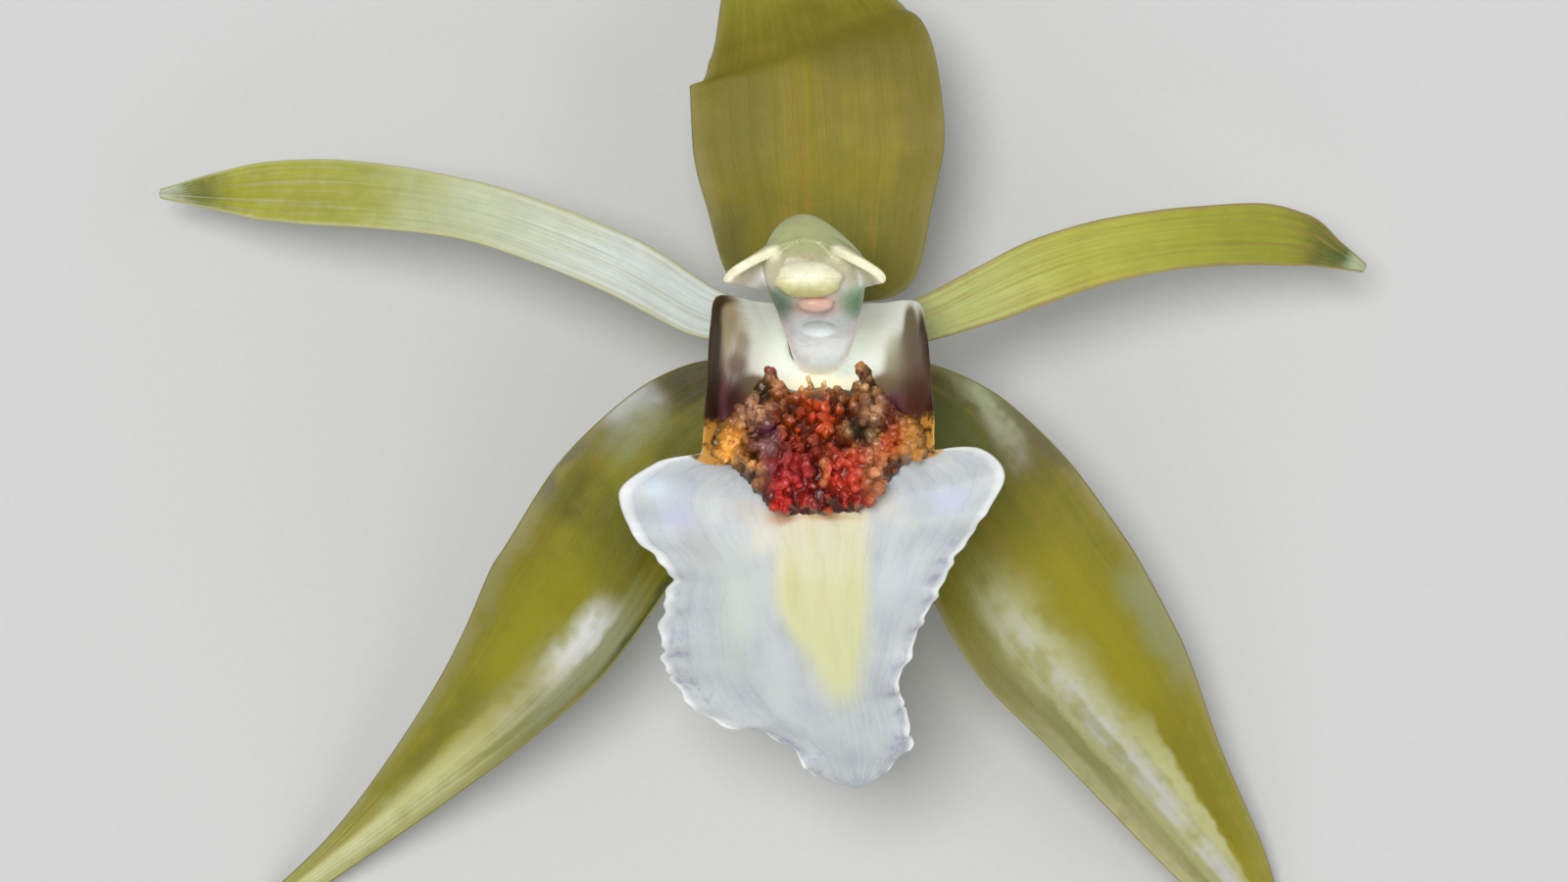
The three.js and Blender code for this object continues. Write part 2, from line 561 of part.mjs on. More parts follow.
// From the collar to the cut end: the middle's place, the radius, and the depth of the ribs as a
// share of it. The stalk leaves the back of the flower, bends over and lies along the surface.
const LYING = STALK_RADIUS - PRESSED;
const STALK = track([
  [0.0, 0.0, SEAT_HEIGHT, COLLAR_RADIUS, 0],
  [0.0, 0.0, SEAT_HEIGHT - 0.9, 4.4, 0.02],
  [0.0, 0.3, 12.0, 2.7, 0.08],
  [0.0, 0.5, 9.4, OVARY_RADIUS, 0.1],
  [0.0, 0.0, 6.4, OVARY_RADIUS, 0.1],
  [0.1, -2.2, 3.9, 2.15, 0.1],
  [0.3, -5.6, 2.5, 1.9, 0.07],
  [0.6, -10.0, 1.75, 1.65, 0.03],
  [1.0, -16.0, LYING, STALK_RADIUS, 0],
  [1.5, -22.0, LYING, STALK_RADIUS, 0],
  [2.1, -28.0, LYING, STALK_RADIUS, 0],
  [2.7, -33.5, LYING, STALK_RADIUS, 0],
]);

function ovaryAndStalk() {
  const ring = (s, turn) => {
    const [x, y, z, radius, ribs] = STALK(s);
    const along = heading(STALK, s);
    const across = ACROSS.clone().addScaledVector(along, -ACROSS.dot(along)).normalize();
    const over = along.clone().cross(across);
    const angle = 2 * Math.PI * turn;
    const reach = radius * (1 + ribs * Math.cos(OVARY_RIBS * angle));
    return rested(vector(x, y, z)
      .addScaledVector(across, reach * Math.cos(angle))
      .addScaledVector(over, reach * Math.sin(angle)));
  };
  const middle = (u) => vector(...STALK(u).slice(0, 3));
  return rod(ring, middle, STALK_GRID);
}

// ---------------------------------------------------------------- the flower

function finish(color, roughness) {
  return new THREE.MeshStandardMaterial({ color, roughness, metalness: 0 });
}

const OLIVE = finish(0x9a8f34, 0.45);
const YELLOW_GREEN = finish(0xbfc26a, 0.45);
const WHITE = finish(0xe2e3ea, 0.5);
const RUST = finish(0xa9481c, 0.4);
const CREAM = finish(0xe4e3cf, 0.4);
const BUTTER = finish(0xf0ebb8, 0.35);
const LEAF_GREEN = finish(0x7f8f45, 0.5);

const flower = new THREE.Group();

function add(name, geometry, material) {
  const mesh = new THREE.Mesh(geometry, material);
  mesh.name = name;
  flower.add(mesh);
}

add('dorsal_sepal', tepal(DORSAL_SEPAL, BROAD_RIPPLE, SEPAL_GRID), OLIVE);
add('left_lateral_sepal', tepal(LEFT_LATERAL_SEPAL, BROAD_RIPPLE, SEPAL_GRID), OLIVE);
add('right_lateral_sepal', tepal(RIGHT_LATERAL_SEPAL, BROAD_RIPPLE, SEPAL_GRID), OLIVE);
add('left_petal', tepal(LEFT_PETAL, SLIGHT_RIPPLE, PETAL_GRID), YELLOW_GREEN);
add('right_petal', tepal(RIGHT_PETAL, SLIGHT_RIPPLE, PETAL_GRID), YELLOW_GREEN);
add('lip', lip(), WHITE);
add('lip_crests', crests(), RUST);
add('column', column(), CREAM);
add('anther_cap', ellipsoid(ANTHER_CENTRE, ANTHER_HALF), BUTTER);
add('ovary_and_stalk', ovaryAndStalk(), LEAF_GREEN);

// The origin is the middle of the footprint, on the surface.
const extent = new THREE.Box3().setFromObject(flower);
const middle = extent.getCenter(new THREE.Vector3());
flower.position.set(-middle.x, -middle.y, 0);

export default flower;
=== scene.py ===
"""Visual model of one coelogyne orchid flower, picked with its stalk and lying face up.

Shapes are worked out in the flower's own millimetres: the flower faces +Z, its dorsal sepal points
to +Y and its lip to -Y. The anther cap's solid tells where that frame lies in the part's frame, and
the finished meshes are written there in metres.
"""

import logging
import math
from dataclasses import dataclass, field
from enum import Enum
from functools import partial
from typing import Any, Callable, Mapping, Sequence

import bpy
import numpy as np
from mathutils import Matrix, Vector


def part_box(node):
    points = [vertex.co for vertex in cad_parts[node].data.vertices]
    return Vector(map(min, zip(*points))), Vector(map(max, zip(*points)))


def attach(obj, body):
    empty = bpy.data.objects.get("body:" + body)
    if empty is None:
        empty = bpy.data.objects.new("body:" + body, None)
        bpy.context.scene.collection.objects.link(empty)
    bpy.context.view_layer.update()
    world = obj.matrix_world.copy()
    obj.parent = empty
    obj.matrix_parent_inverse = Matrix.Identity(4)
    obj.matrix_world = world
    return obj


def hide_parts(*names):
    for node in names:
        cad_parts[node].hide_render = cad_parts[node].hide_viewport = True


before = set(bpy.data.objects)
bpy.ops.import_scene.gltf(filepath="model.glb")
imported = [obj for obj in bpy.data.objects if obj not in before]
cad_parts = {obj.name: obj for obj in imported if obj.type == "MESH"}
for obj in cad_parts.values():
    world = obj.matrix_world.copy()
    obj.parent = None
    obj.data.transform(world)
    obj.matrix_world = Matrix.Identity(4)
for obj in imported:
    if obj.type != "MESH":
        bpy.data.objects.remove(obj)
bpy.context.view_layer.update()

log = logging.getLogger("coelogyne")

Array = np.ndarray
Colour = tuple[float, float, float]
Surface = Callable[[Array, Array], Array]
Stations = Sequence[Sequence[float]]
Stops = Sequence[tuple[float, Colour]]

MM = 0.001
SEED = 20
UP = np.array([0.0, 0.0, 1.0])
ACROSS = np.array([1.0, 0.0, 0.0])

# In the flower's millimetres: the top of the ovary, the gap between it and the blades, the blades'
# thickness where they leave it, the middle of their feet, and the channel beside a midrib.
SEAT_HEIGHT = 14.4
GAP = 0.3
BLADE = 0.9
BASE = SEAT_HEIGHT + GAP + BLADE / 2
FOLD = 1.6
LIP_BLADE = 0.8
MARGIN_POWER = 16
ANTHER_CENTRE = np.array([-1.0, 4.35, 38.7])
ANTHER_HALF = np.array([2.8, 1.5, 1.45])


class Mark(str, Enum):
    """Numbers, and the colour of the tissue, that each vertex carries for the finishes to read."""

    ALONG = "along"
    ACROSS = "across"
    FRONT = "front"
    TISSUE = "tissue"
    TIP = "tip"
    GOLD = "gold"
    STAIN = "stain"
    RIM = "rim"
    THROAT = "throat"
    CUT = "cut"
    AMBER = "amber"
    # painted light: how strongly the tissue glows to brighten its shade
    LIT = "lit"


class Side(Enum):
    """A side of the flower as the viewer sees it."""

    LEFT = -1
    RIGHT = 1


# ---- numbers and curves


def unit(vectors: Array) -> Array:
    """Vectors divided by their own lengths."""
    return vectors / np.maximum(np.linalg.norm(vectors, axis=-1, keepdims=True), 1e-12)


def smooth(values: Array, low: float, high: float) -> Array:
    """A smooth step: 0 below low, 1 above high, and 3t^2 - 2t^3 of the share t between them."""
    share = np.clip((values - low) / (high - low), 0.0, 1.0)
    return share * share * (3 - 2 * share)


def bump(values: Array, centre: float, width: float) -> Array:
    """A bell: e to the minus square of the distance from centre, in widths."""
    return np.exp(-(((values - centre) / width) ** 2))


def arc_end(length: Array, start: Array, end: Array) -> tuple[Array, Array]:
    """Where an arc ends that sets out at one angle and turns evenly to another.

    The chord is the length times sin(h)/h, h being half the turn, and points halfway.

    Args:
        length: Lengths of the arcs.
        start: Angles at which they set out, in radians.
        end: Angles at which they end.

    Returns:
        How far along and how far above its start each arc ends.
    """
    half = (end - start) / 2
    chord = length * np.sinc(half / np.pi)
    return chord * np.cos(start + half), chord * np.sin(start + half)


def linear(colour: Colour) -> tuple[float, float, float, float]:
    """A screen colour as linear light.

    A share s of the screen's range stands for s/12.92 at its dark end, and elsewhere for
    (s + 0.055)/1.055 to the power 2.4.

    Args:
        colour: Red, green and blue, each up to 255.

    Returns:
        Linear red, green and blue, and an opacity of 1.
    """
    shares = [c / 255 for c in colour]
    light = [s / 12.92 if s <= 0.04045 else ((s + 0.055) / 1.055) ** 2.4 for s in shares]
    return (light[0], light[1], light[2], 1.0)


class Track:
    """Values that run smoothly through evenly spaced stations.

    Each piece is a cubic whose end slopes are the harmonic means of its neighbours' rates, so it
    never overshoots a station.
    """

    def __init__(self, stations: Stations) -> None:
        """Works out the slopes at the stations.

        Args:
            stations: Rows of values.
        """
        self.rows = np.array(stations, float)
        rate = np.diff(self.rows, axis=0)
        before = np.vstack([rate[:1], rate])
        after = np.vstack([rate, rate[-1:]])
        same = before * after > 0
        total = np.where(same, before + after, 1.0)
        self.slope = np.where(same, 2 * before * after / total, 0.0)

    def __call__(self, at: Array) -> Array:
        """The values on the way from the first station to the last.

        Between two stations they ease by 3t^2 - 2t^3 of the share t of the way, plus a bend of
        t(1 - t) that gives both ends their slopes.

        Args:
            at: Shares of the way.

        Returns:
            A row of values for each share.
        """
        last = len(self.rows) - 1
        place = np.clip(at, 0.0, 1.0) * last
        i = np.minimum(place.astype(int), last - 1)
        t = (place - i)[..., None]
        ease = t * t * (3 - 2 * t)
        start, end = self.rows[i], self.rows[i + 1]
        bend = (1 - t) * self.slope[i] - t * self.slope[i + 1]
        return start + (end - start) * ease + t * (1 - t) * bend

    def heading(self, at: Array) -> Array:
        """Direction of travel of the first three values, by a central difference.

        Args:
            at: Shares of the way.

        Returns:
            Unit vectors.
        """
        step = 0.004
        ahead = self(np.minimum(at + step, 1.0))[..., :3]
        return unit(ahead - self(np.maximum(at - step, 0.0))[..., :3])


def normal_of(surface: Surface, u: Array, v: Array) -> Array:
    """Outward normal of a surface: its slope across times its slope along, by differences.

    Args:
        surface: A surface of shares along and across.
        u: Shares along.
        v: Shares across.

    Returns:
        Unit vectors.
    """
    step = 0.01
    along = surface(np.minimum(u + step, 1.0), v) - surface(np.maximum(u - step, 0.0), v)
    across = surface(u, np.minimum(v + step, 1.0)) - surface(u, np.maximum(v - step, -1.0))
    return unit(np.cross(across, along))


def level(axis: Array, along: Array) -> Array:
    """The part of an axis that is square to a direction of travel, as a unit vector."""
    return unit(axis - (along @ axis)[..., None] * along)


# ---- skins


def turned(faces: Array) -> Array:
    """Faces with their corners in the opposite order; a triangle still repeats its last one."""
    triangle = (faces[:, 2] == faces[:, 3])[:, None]
    return np.where(triangle, faces[:, [0, 2, 1, 1]], faces[:, ::-1])


@dataclass
class Skin:
    """A closed surface in flower millimetres.

    Attributes:
        points: Vertices, one row each.
        faces: Vertex numbers of the faces, four a row; a triangle repeats its last number.
        marks: Numbers or colours carried by the vertices, by name.
    """

    points: Array
    faces: Array
    marks: dict[Mark, Array] = field(default_factory=dict)

    def volume(self) -> float:
        """Signed volume: a sixth of the sum of the triple products of each face's corners.

        Returns:
            Cubic millimetres, below 0 where the faces look inwards.
        """
        a, b, c, d = (self.points[self.faces[:, k]] for k in range(4))
        triples = np.einsum("ij,ij->i", a, np.cross(b, c)) + np.einsum("ij,ij->i", a, np.cross(c, d))
        return float(triples.sum() / 6)

    def outward(self) -> "Skin":
        """Turns the faces round where they look inwards.

        Returns:
            This skin.
        """
        if self.volume() < 0:
            self.faces = turned(self.faces)
        return self

    def polygons(self) -> list[list[int]]:
        """Faces as lists, with the repeated corner of each triangle dropped."""
        return [row[:3] if row[2] == row[3] else row for row in self.faces.tolist()]


def together(skins: Sequence[Skin]) -> Skin:
    """Several skins as one, side by side.

    Args:
        skins: Skins that carry the same marks.

    Returns:
        One skin with all their points, faces and marks.
    """
    offsets = np.cumsum([0] + [len(s.points) for s in skins[:-1]])
    names = skins[0].marks.keys()
    return Skin(
        np.vstack([s.points for s in skins]),
        np.vstack([s.faces + offset for s, offset in zip(skins, offsets)]),
        {name: np.concatenate([s.marks[name] for s in skins]) for name in names},
    )


def wrap(rows: int, sides: int) -> Array:
    """Four-sided faces between neighbouring rings.

    Args:
        rows: How many rings there are.
        sides: How many points each ring has.

    Returns:
        Faces, four point numbers a row.
    """
    k = np.arange(sides)
    after = (k + 1) % sides
    row = np.arange(rows - 1)[:, None] * sides
    return np.stack([row + k, row + after, row + sides + after, row + sides + k], -1).reshape(-1, 4)


def tube(rings: Array, start: Array, end: Array, marks: Mapping[Mark, Array] | None = None) -> Skin:
    """A closed skin over rings of points, with a pole at each end.

    Args:
        rings: Points of the rings: ring, place round it, and three numbers each.
        start: The pole that closes the first ring.
        end: The pole that closes the last ring.
        marks: Numbers of the rings' points, by name.

    Returns:
        The skin, facing outwards.
    """
    rows, sides = rings.shape[:2]
    k = np.arange(sides)
    after = (k + 1) % sides
    first, last = rows * sides, rows * sides + 1
    top = (rows - 1) * sides
    caps = [
        np.stack([np.full(sides, first), after, k, k], -1),
        np.stack([np.full(sides, last), top + k, top + after, top + after], -1),
    ]
    points = np.vstack([rings.reshape(-1, 3), start, end])
    carried = {}
    for name, values in (marks or {}).items():
        flat = values.reshape(rows * sides, *values.shape[2:])
        carried[name] = np.concatenate([flat, values[0].mean(0)[None], values[-1].mean(0)[None]])
    return Skin(points, np.vstack([wrap(rows, sides), *caps]), carried).outward()


def leaf(surface: Surface, front: Surface, back: Surface, rows: Array, sides: int) -> Skin:
    """A thin closed blade about a middle surface.

    Its rings go round the blade from one margin over the front to the other and back beneath. The
    places across are half even steps and half the cosine of the turn, so they close up at the
    margins, where the thickness falls to nothing as the square root of 1 - v^16. A strip joins the
    front to the back at both ends.

    Args:
        surface: Middle surface, of shares along and across.
        front: How far the front stands off it.
        back: How far the back stands off it.
        rows: Shares along at which rings lie.
        sides: Points in a ring.

    Returns:
        The skin, with its shares along and across, and 1 on its front.
    """
    turn = np.arange(sides) / sides
    even = 1 - 4 * np.abs(turn - 0.5)
    v = 0.5 * even - 0.5 * np.cos(2 * np.pi * turn)
    u_grid, v_grid = np.meshgrid(rows, v, indexing="ij")
    facing = np.broadcast_to((turn > 0) & (turn < 0.5), u_grid.shape)
    round_off = np.sqrt(np.clip(1 - np.abs(v_grid) ** MARGIN_POWER, 0.0, 1.0))
    depth = np.where(facing, front(u_grid, v_grid), -back(u_grid, v_grid)) * round_off
    rings = surface(u_grid, v_grid) + normal_of(surface, u_grid, v_grid) * depth[..., None]
    rings[..., 2] = np.maximum(rings[..., 2], 0.0)
    marks = {Mark.ALONG: u_grid, Mark.ACROSS: v_grid, Mark.FRONT: facing.astype(float)}
    k = np.arange(sides // 2)
    strip = np.stack([k, (sides - k) % sides, sides - k - 1, k + 1], -1)
    strip[0] = strip[0, [0, 2, 3, 3]]
    strip[-1] = strip[-1, [0, 1, 2, 2]]
    faces = np.vstack([wrap(len(rows), sides), strip, turned(strip) + (len(rows) - 1) * sides])
    flat = {name: values.ravel() for name, values in marks.items()}
    return Skin(rings.reshape(-1, 3), faces, flat).outward()


def egg(centre: Array, half: Array, rings: int = 20, sides: int = 28) -> Skin:
    """An ellipsoid: a sphere's latitudes and longitudes stretched by three half sizes.

    Args:
        centre: Its middle.
        half: Its half sizes.
        rings: How many circles of latitude it has.
        sides: How many points each of them has.

    Returns:
        The skin.
    """
    up = np.linspace(-0.5, 0.5, rings + 2)[1:-1, None] * np.pi
    turn = np.arange(sides)[None, :] / sides * 2 * np.pi
    ball = np.stack([np.cos(up) * np.cos(turn), np.cos(up) * np.sin(turn), np.sin(up) + 0 * turn], -1)
    pole = np.array([0.0, 0.0, half[2]])
    return tube(centre + ball * half, centre - pole, centre + pole)


# ---- work on the bench


class Bench:
    """Fuses, hollows and smooths skins, in millimetres."""

    @staticmethod
    def rough(skin: Skin, name: str) -> bpy.types.Object:
        """An object made of a skin as it stands.

        Args:
            skin: The skin.
            name: Name of the object and its mesh.

        Returns:
            The object, in the scene.
        """
        mesh = bpy.data.meshes.new(name)
        mesh.from_pydata(skin.points.tolist(), [], skin.polygons())
        made = bpy.data.objects.new(name, mesh)
        bpy.context.scene.collection.objects.link(made)
        return made

    @classmethod
    def fuse(cls, skins: Sequence[Skin], cuts: Sequence[Skin], voxel: float, passes: int) -> Skin:
        """Joins skins that run into each other into one skin, hollowed and smoothed.

        Args:
            skins: Closed skins; the cuts are taken out of the first alone.
            cuts: Closed skins whose insides are taken away.
            voxel: Size of the new faces.
            passes: How many times each point moves halfway to the middle of its neighbours.

        Returns:
            One closed skin with no marks.
        """
        made = [cls.rough(skin, f"bench_{k}") for k, skin in enumerate(skins)]
        tools = [cls.rough(cut, f"cut_{k}") for k, cut in enumerate(cuts)]
        for tool in tools:
            cut = made[0].modifiers.new("cut", "BOOLEAN")
            cut.operation, cut.solver, cut.object = "DIFFERENCE", "EXACT", tool
        whole = together([cls.read(item) for item in made])
        joined = cls.rough(whole, "bench_whole")
        remesh = joined.modifiers.new("fuse", "REMESH")
        remesh.mode, remesh.voxel_size, remesh.adaptivity = "VOXEL", voxel, 0.0
        ease = joined.modifiers.new("ease", "SMOOTH")
        ease.factor, ease.iterations = 0.5, passes
        result = cls.read(joined)
        for item in [*made, *tools, joined]:
            mesh = item.data
            bpy.data.objects.remove(item)
            bpy.data.meshes.remove(mesh)
        return result.outward()

    @staticmethod
    def read(item: bpy.types.Object) -> Skin:
        """The skin of an object with its modifiers.

        Args:
            item: The object. Unless all of its faces have four corners, they are cut into triangles.

        Returns:
            Its skin, with no marks.
        """
        graph = bpy.context.evaluated_depsgraph_get()
        mesh = item.evaluated_get(graph).to_mesh()
        points = np.empty(len(mesh.vertices) * 3)
        mesh.vertices.foreach_get("co", points)
        sizes = np.empty(len(mesh.polygons), int)
        mesh.polygons.foreach_get("loop_total", sizes)
        if len(sizes) and (sizes == 4).all():
            faces = np.empty(len(mesh.loops), int)
            mesh.loops.foreach_get("vertex_index", faces)
            faces = faces.reshape(-1, 4)
        else:
            mesh.calc_loop_triangles()
            corners = np.empty(len(mesh.loop_triangles) * 3, int)
            mesh.loop_triangles.foreach_get("vertices", corners)
            faces = corners.reshape(-1, 3)[:, [0, 1, 2, 2]]
        item.evaluated_get(graph).to_mesh_clear()
        return Skin(points.reshape(-1, 3), faces)


# ---- shader graph


class Value:
    """A shader socket that Python's operators work on."""

    def __init__(self, graph: "Graph", socket: bpy.types.NodeSocket) -> None:
        """Holds a socket and the graph that it belongs to."""
        self.graph = graph
        self.socket = socket

    def maths(self, operation: str, *others: Any) -> "Value":
        """A Math node on this value and others."""
        inputs = {k: item for k, item in enumerate((self, *others))}
        return self.graph.node("ShaderNodeMath", {"operation": operation}, inputs)

    def __add__(self, other: Any) -> "Value":
        """The sum of this value and another."""
        return self.maths("ADD", other)

    __radd__ = __add__

    def __mul__(self, other: Any) -> "Value":
        """The product of this value and another."""
        return self.maths("MULTIPLY", other)

    __rmul__ = __mul__

    def __sub__(self, other: Any) -> "Value":
        """This value less another."""
        return self.maths("SUBTRACT", other)

    def __rsub__(self, other: Any) -> "Value":
        """Another value less this one."""
        return (self * -1.0) + other

    def __abs__(self) -> "Value":
        """This value without its sign."""
        return self.maths("ABSOLUTE")

    def larger(self, other: Any) -> "Value":
        """The larger of this value and another."""
        return self.maths("MAXIMUM", other)

    def sine(self) -> "Value":
        """The sine of this value."""
        return self.maths("SINE")

    def step(self, low: float, high: float) -> "Value":
        """A smooth step of this value, which falls instead of rising where high is below low.

        Args:
            low: Where the step is 0.
            high: Where it is 1.

        Returns:
            The step.
        """
        if high < low:
            return 1.0 - self.step(high, low)
        settings = {"interpolation_type": "SMOOTHSTEP"}
        return self.graph.node("ShaderNodeMapRange", settings, {0: self, 1: low, 2: high, 3: 0.0, 4: 1.0})

    def frayed(self, *noises: tuple["Value", float]) -> "Value":
        """This value moved up and down by noises.

        Args:
            noises: Each noise and how much of it, from its middle of 0.5, is added.

        Returns:
            The moved value.
        """
        moved = self
        for noise, depth in noises:
            moved = moved + (noise - 0.5) * depth
        return moved


class Graph:
    """The node graph of one material."""

    def __init__(self, name: str) -> None:
        """Starts a material with an empty graph.

        Args:
            name: Name of the material.
        """
        self.material = bpy.data.materials.new(name)
        self.material.use_nodes = True
        self.tree = self.material.node_tree
        self.tree.nodes.clear()
        self.where = self.node("ShaderNodeTexCoord", output="Object")

    def node(
        self,
        kind: str,
        settings: Mapping[str, Any] | None = None,
        inputs: Mapping[Any, Any] | None = None,
        output: Any = 0,
    ) -> Value:
        """Any node.

        Args:
            kind: The node's type.
            settings: Its own settings, set first; "stops" gives a ramp's places and colours.
            inputs: Values or links of its sockets, by name or number.
            output: The socket to hand back.

        Returns:
            That socket.
        """
        made = self.tree.nodes.new(kind)
        for key, value in (settings or {}).items():
            if key == "stops":
                self.set_stops(made.color_ramp, value)
            else:
                setattr(made, key, value)
        for key, value in (inputs or {}).items():
            if isinstance(value, Value):
                self.tree.links.new(value.socket, made.inputs[key])
            else:
                made.inputs[key].default_value = value
        return Value(self, made.outputs[output]) if made.outputs else Value(self, made.inputs[0])

    @staticmethod
    def set_stops(ramp: bpy.types.ColorRamp, stops: Stops) -> None:
        """Gives a ramp its places and colours.

        Args:
            ramp: The ramp, with two places of its own.
            stops: Places from 0 to 1 in rising order, and their colours.
        """
        while len(ramp.elements) < len(stops):
            ramp.elements.new(1.0)
        for element, (place, colour) in zip(ramp.elements, stops):
            element.position = place
            element.color = linear(colour)

    def mark(self, name: Mark) -> Value:
        """A number or a colour that the vertices carry."""
        output = "Color" if name is Mark.TISSUE else "Fac"
        return self.node("ShaderNodeAttribute", {"attribute_name": name.value}, output=output)

    def noise(self, size: float, detail: float = 3.0, at: Value | None = None) -> Value:
        """Cloudy noise from 0 to 1.

        Args:
            size: Size of its features, in millimetres or in the coordinates' own measure.
            detail: How many finer layers it has.
            at: Coordinates that it follows; the object's own where there are none.

        Returns:
            The noise.
        """
        inputs = {"Vector": at or self.where, "Scale": 1 / (size * MM) if at is None else 1 / size}
        inputs |= {"Detail": detail, "Roughness": 0.6}
        return self.node("ShaderNodeTexNoise", inputs=inputs)

    def cells(self, size: float) -> Value:
        """Distance from the middle of the nearest cell of a size in millimetres."""
        return self.node("ShaderNodeTexVoronoi", inputs={"Vector": self.where, "Scale": 1 / (size * MM)})

    def along_blade(self, across: float, along: float) -> Value:
        """Coordinates that follow a blade: its share across and its share along, each stretched."""
        inputs = {0: self.mark(Mark.ACROSS) * across, 1: self.mark(Mark.ALONG) * along}
        return self.node("ShaderNodeCombineXYZ", inputs=inputs)

    def ramp(self, value: Value, stops: Stops) -> Value:
        """Colours along a value."""
        return self.node("ShaderNodeValToRGB", {"stops": stops}, {0: value})

    def blend(self, first: Any, second: Any, share: Any) -> Value:
        """A colour between two.

        Args:
            first: The colour at a share of 0, a value or a screen colour.
            second: The colour at a share of 1.
            share: The share.

        Returns:
            The mixed colour.
        """
        mixed = [linear(c) if isinstance(c, tuple) else c for c in (first, second)]
        settings = {"data_type": "RGBA", "clamp_factor": True}
        return self.node("ShaderNodeMix", settings, {0: share, 6: mixed[0], 7: mixed[1]}, output=2)

    def cover(self, colour: Any, layers: Sequence[tuple[Any, Any]]) -> Any:
        """A colour under layers of others.

        Args:
            colour: The colour beneath.
            layers: From the lowest to the highest: each colour and the share of it that covers.

        Returns:
            The mixed colour.
        """
        for layer, share in layers:
            colour = self.blend(colour, layer, share)
        return colour

    def shade(self, colour: Value, share: Any) -> Value:
        """A colour multiplied by a grey: darker where the share is under 1."""
        grey = self.node("ShaderNodeCombineXYZ", inputs={0: share, 1: share, 2: share})
        return self.node("ShaderNodeVectorMath", {"operation": "MULTIPLY"}, {0: colour, 1: grey})

    def glow(self, colour: Value, share: Any) -> dict[str, Any]:
        """Shader inputs for painted light: an emission of a share of the colour, which brightens tissue that
        lies in shade.
        """
        return {"Emission Color": self.shade(colour, share), "Emission Strength": 1.0}

    def finish(
        self, colour: Value, roughness: Any, height: Value, depth: float, constants: Mapping[str, Any]
    ) -> bpy.types.Material:
        """Closes the graph with one shader.

        Args:
            colour: Base colour.
            roughness: Roughness, a number or a value.
            height: Relief from 0 to 1.
            depth: What a height of 1 stands for, in millimetres.
            constants: Numbers set on the shader's own sockets.

        Returns:
            The finished material.
        """
        relief = {"Height": height, "Distance": depth * MM, "Strength": 1.0}
        inputs = {"Base Color": colour, "Roughness": roughness, **constants}
        inputs["Normal"] = self.node("ShaderNodeBump", inputs=relief)
        shader = self.node("ShaderNodeBsdfPrincipled", inputs=inputs)
        self.node("ShaderNodeOutputMaterial", inputs={0: shader})
        return self.material


def flesh(glow: float, reach: float, coat: float) -> dict[str, Any]:
    """Constants of moist plant tissue.

    Args:
        glow: Share of the light that sinks in and comes out again.
        reach: How far it travels inside, in millimetres.
        coat: Strength of the waxy layer.

    Returns:
        Socket names and numbers.
    """
    return {
        "Subsurface Weight": glow,
        "Subsurface Scale": reach * MM,
        "Subsurface Radius": (1.0, 0.8, 0.45),
        "Coat Weight": coat,
        "Coat Roughness": 0.3,
        "Specular IOR Level": 0.45,
    }


# ---- finishes


@dataclass(frozen=True)
class Band:
    """A band of one colour that runs along a blade beside its midrib.

    Attributes:
        start: Share across of its middle at the seat.
        end: Share across of its middle at the tip.
        width: Half width, as a share of the half blade.
        first: Share along where it comes up.
        last: Share along where it has faded.
        colour: Its colour.
        strength: How strongly it covers the blade.
        cover: Share of the band that its patches fill.
    """

    start: float
    end: float
    width: float
    first: float
    last: float
    colour: Colour
    strength: float
    cover: float = 0.8

    def mask(self, graph: Graph, patchy: Value) -> Value:
        """Where the band shows: near its middle line, within its span, in patches of a noise.

        Args:
            graph: The blade's graph.
            patchy: Noise that frays the band's sides and breaks it into patches.

        Returns:
            How strongly the band covers the blade.
        """
        along, across = graph.mark(Mark.ALONG), graph.mark(Mark.ACROSS)
        middle = along * (self.end - self.start) + self.start
        near = abs(across - middle).frayed((patchy, 0.5)).step(self.width, self.width * 0.3)
        fade = min(0.14, 0.35 * (self.last - self.first))
        span = along.step(self.first, self.first + fade) * along.step(self.last, self.last - fade)
        edge = 0.62 - 0.6 * self.cover
        return near * span * patchy.step(edge, edge + 0.36) * self.strength


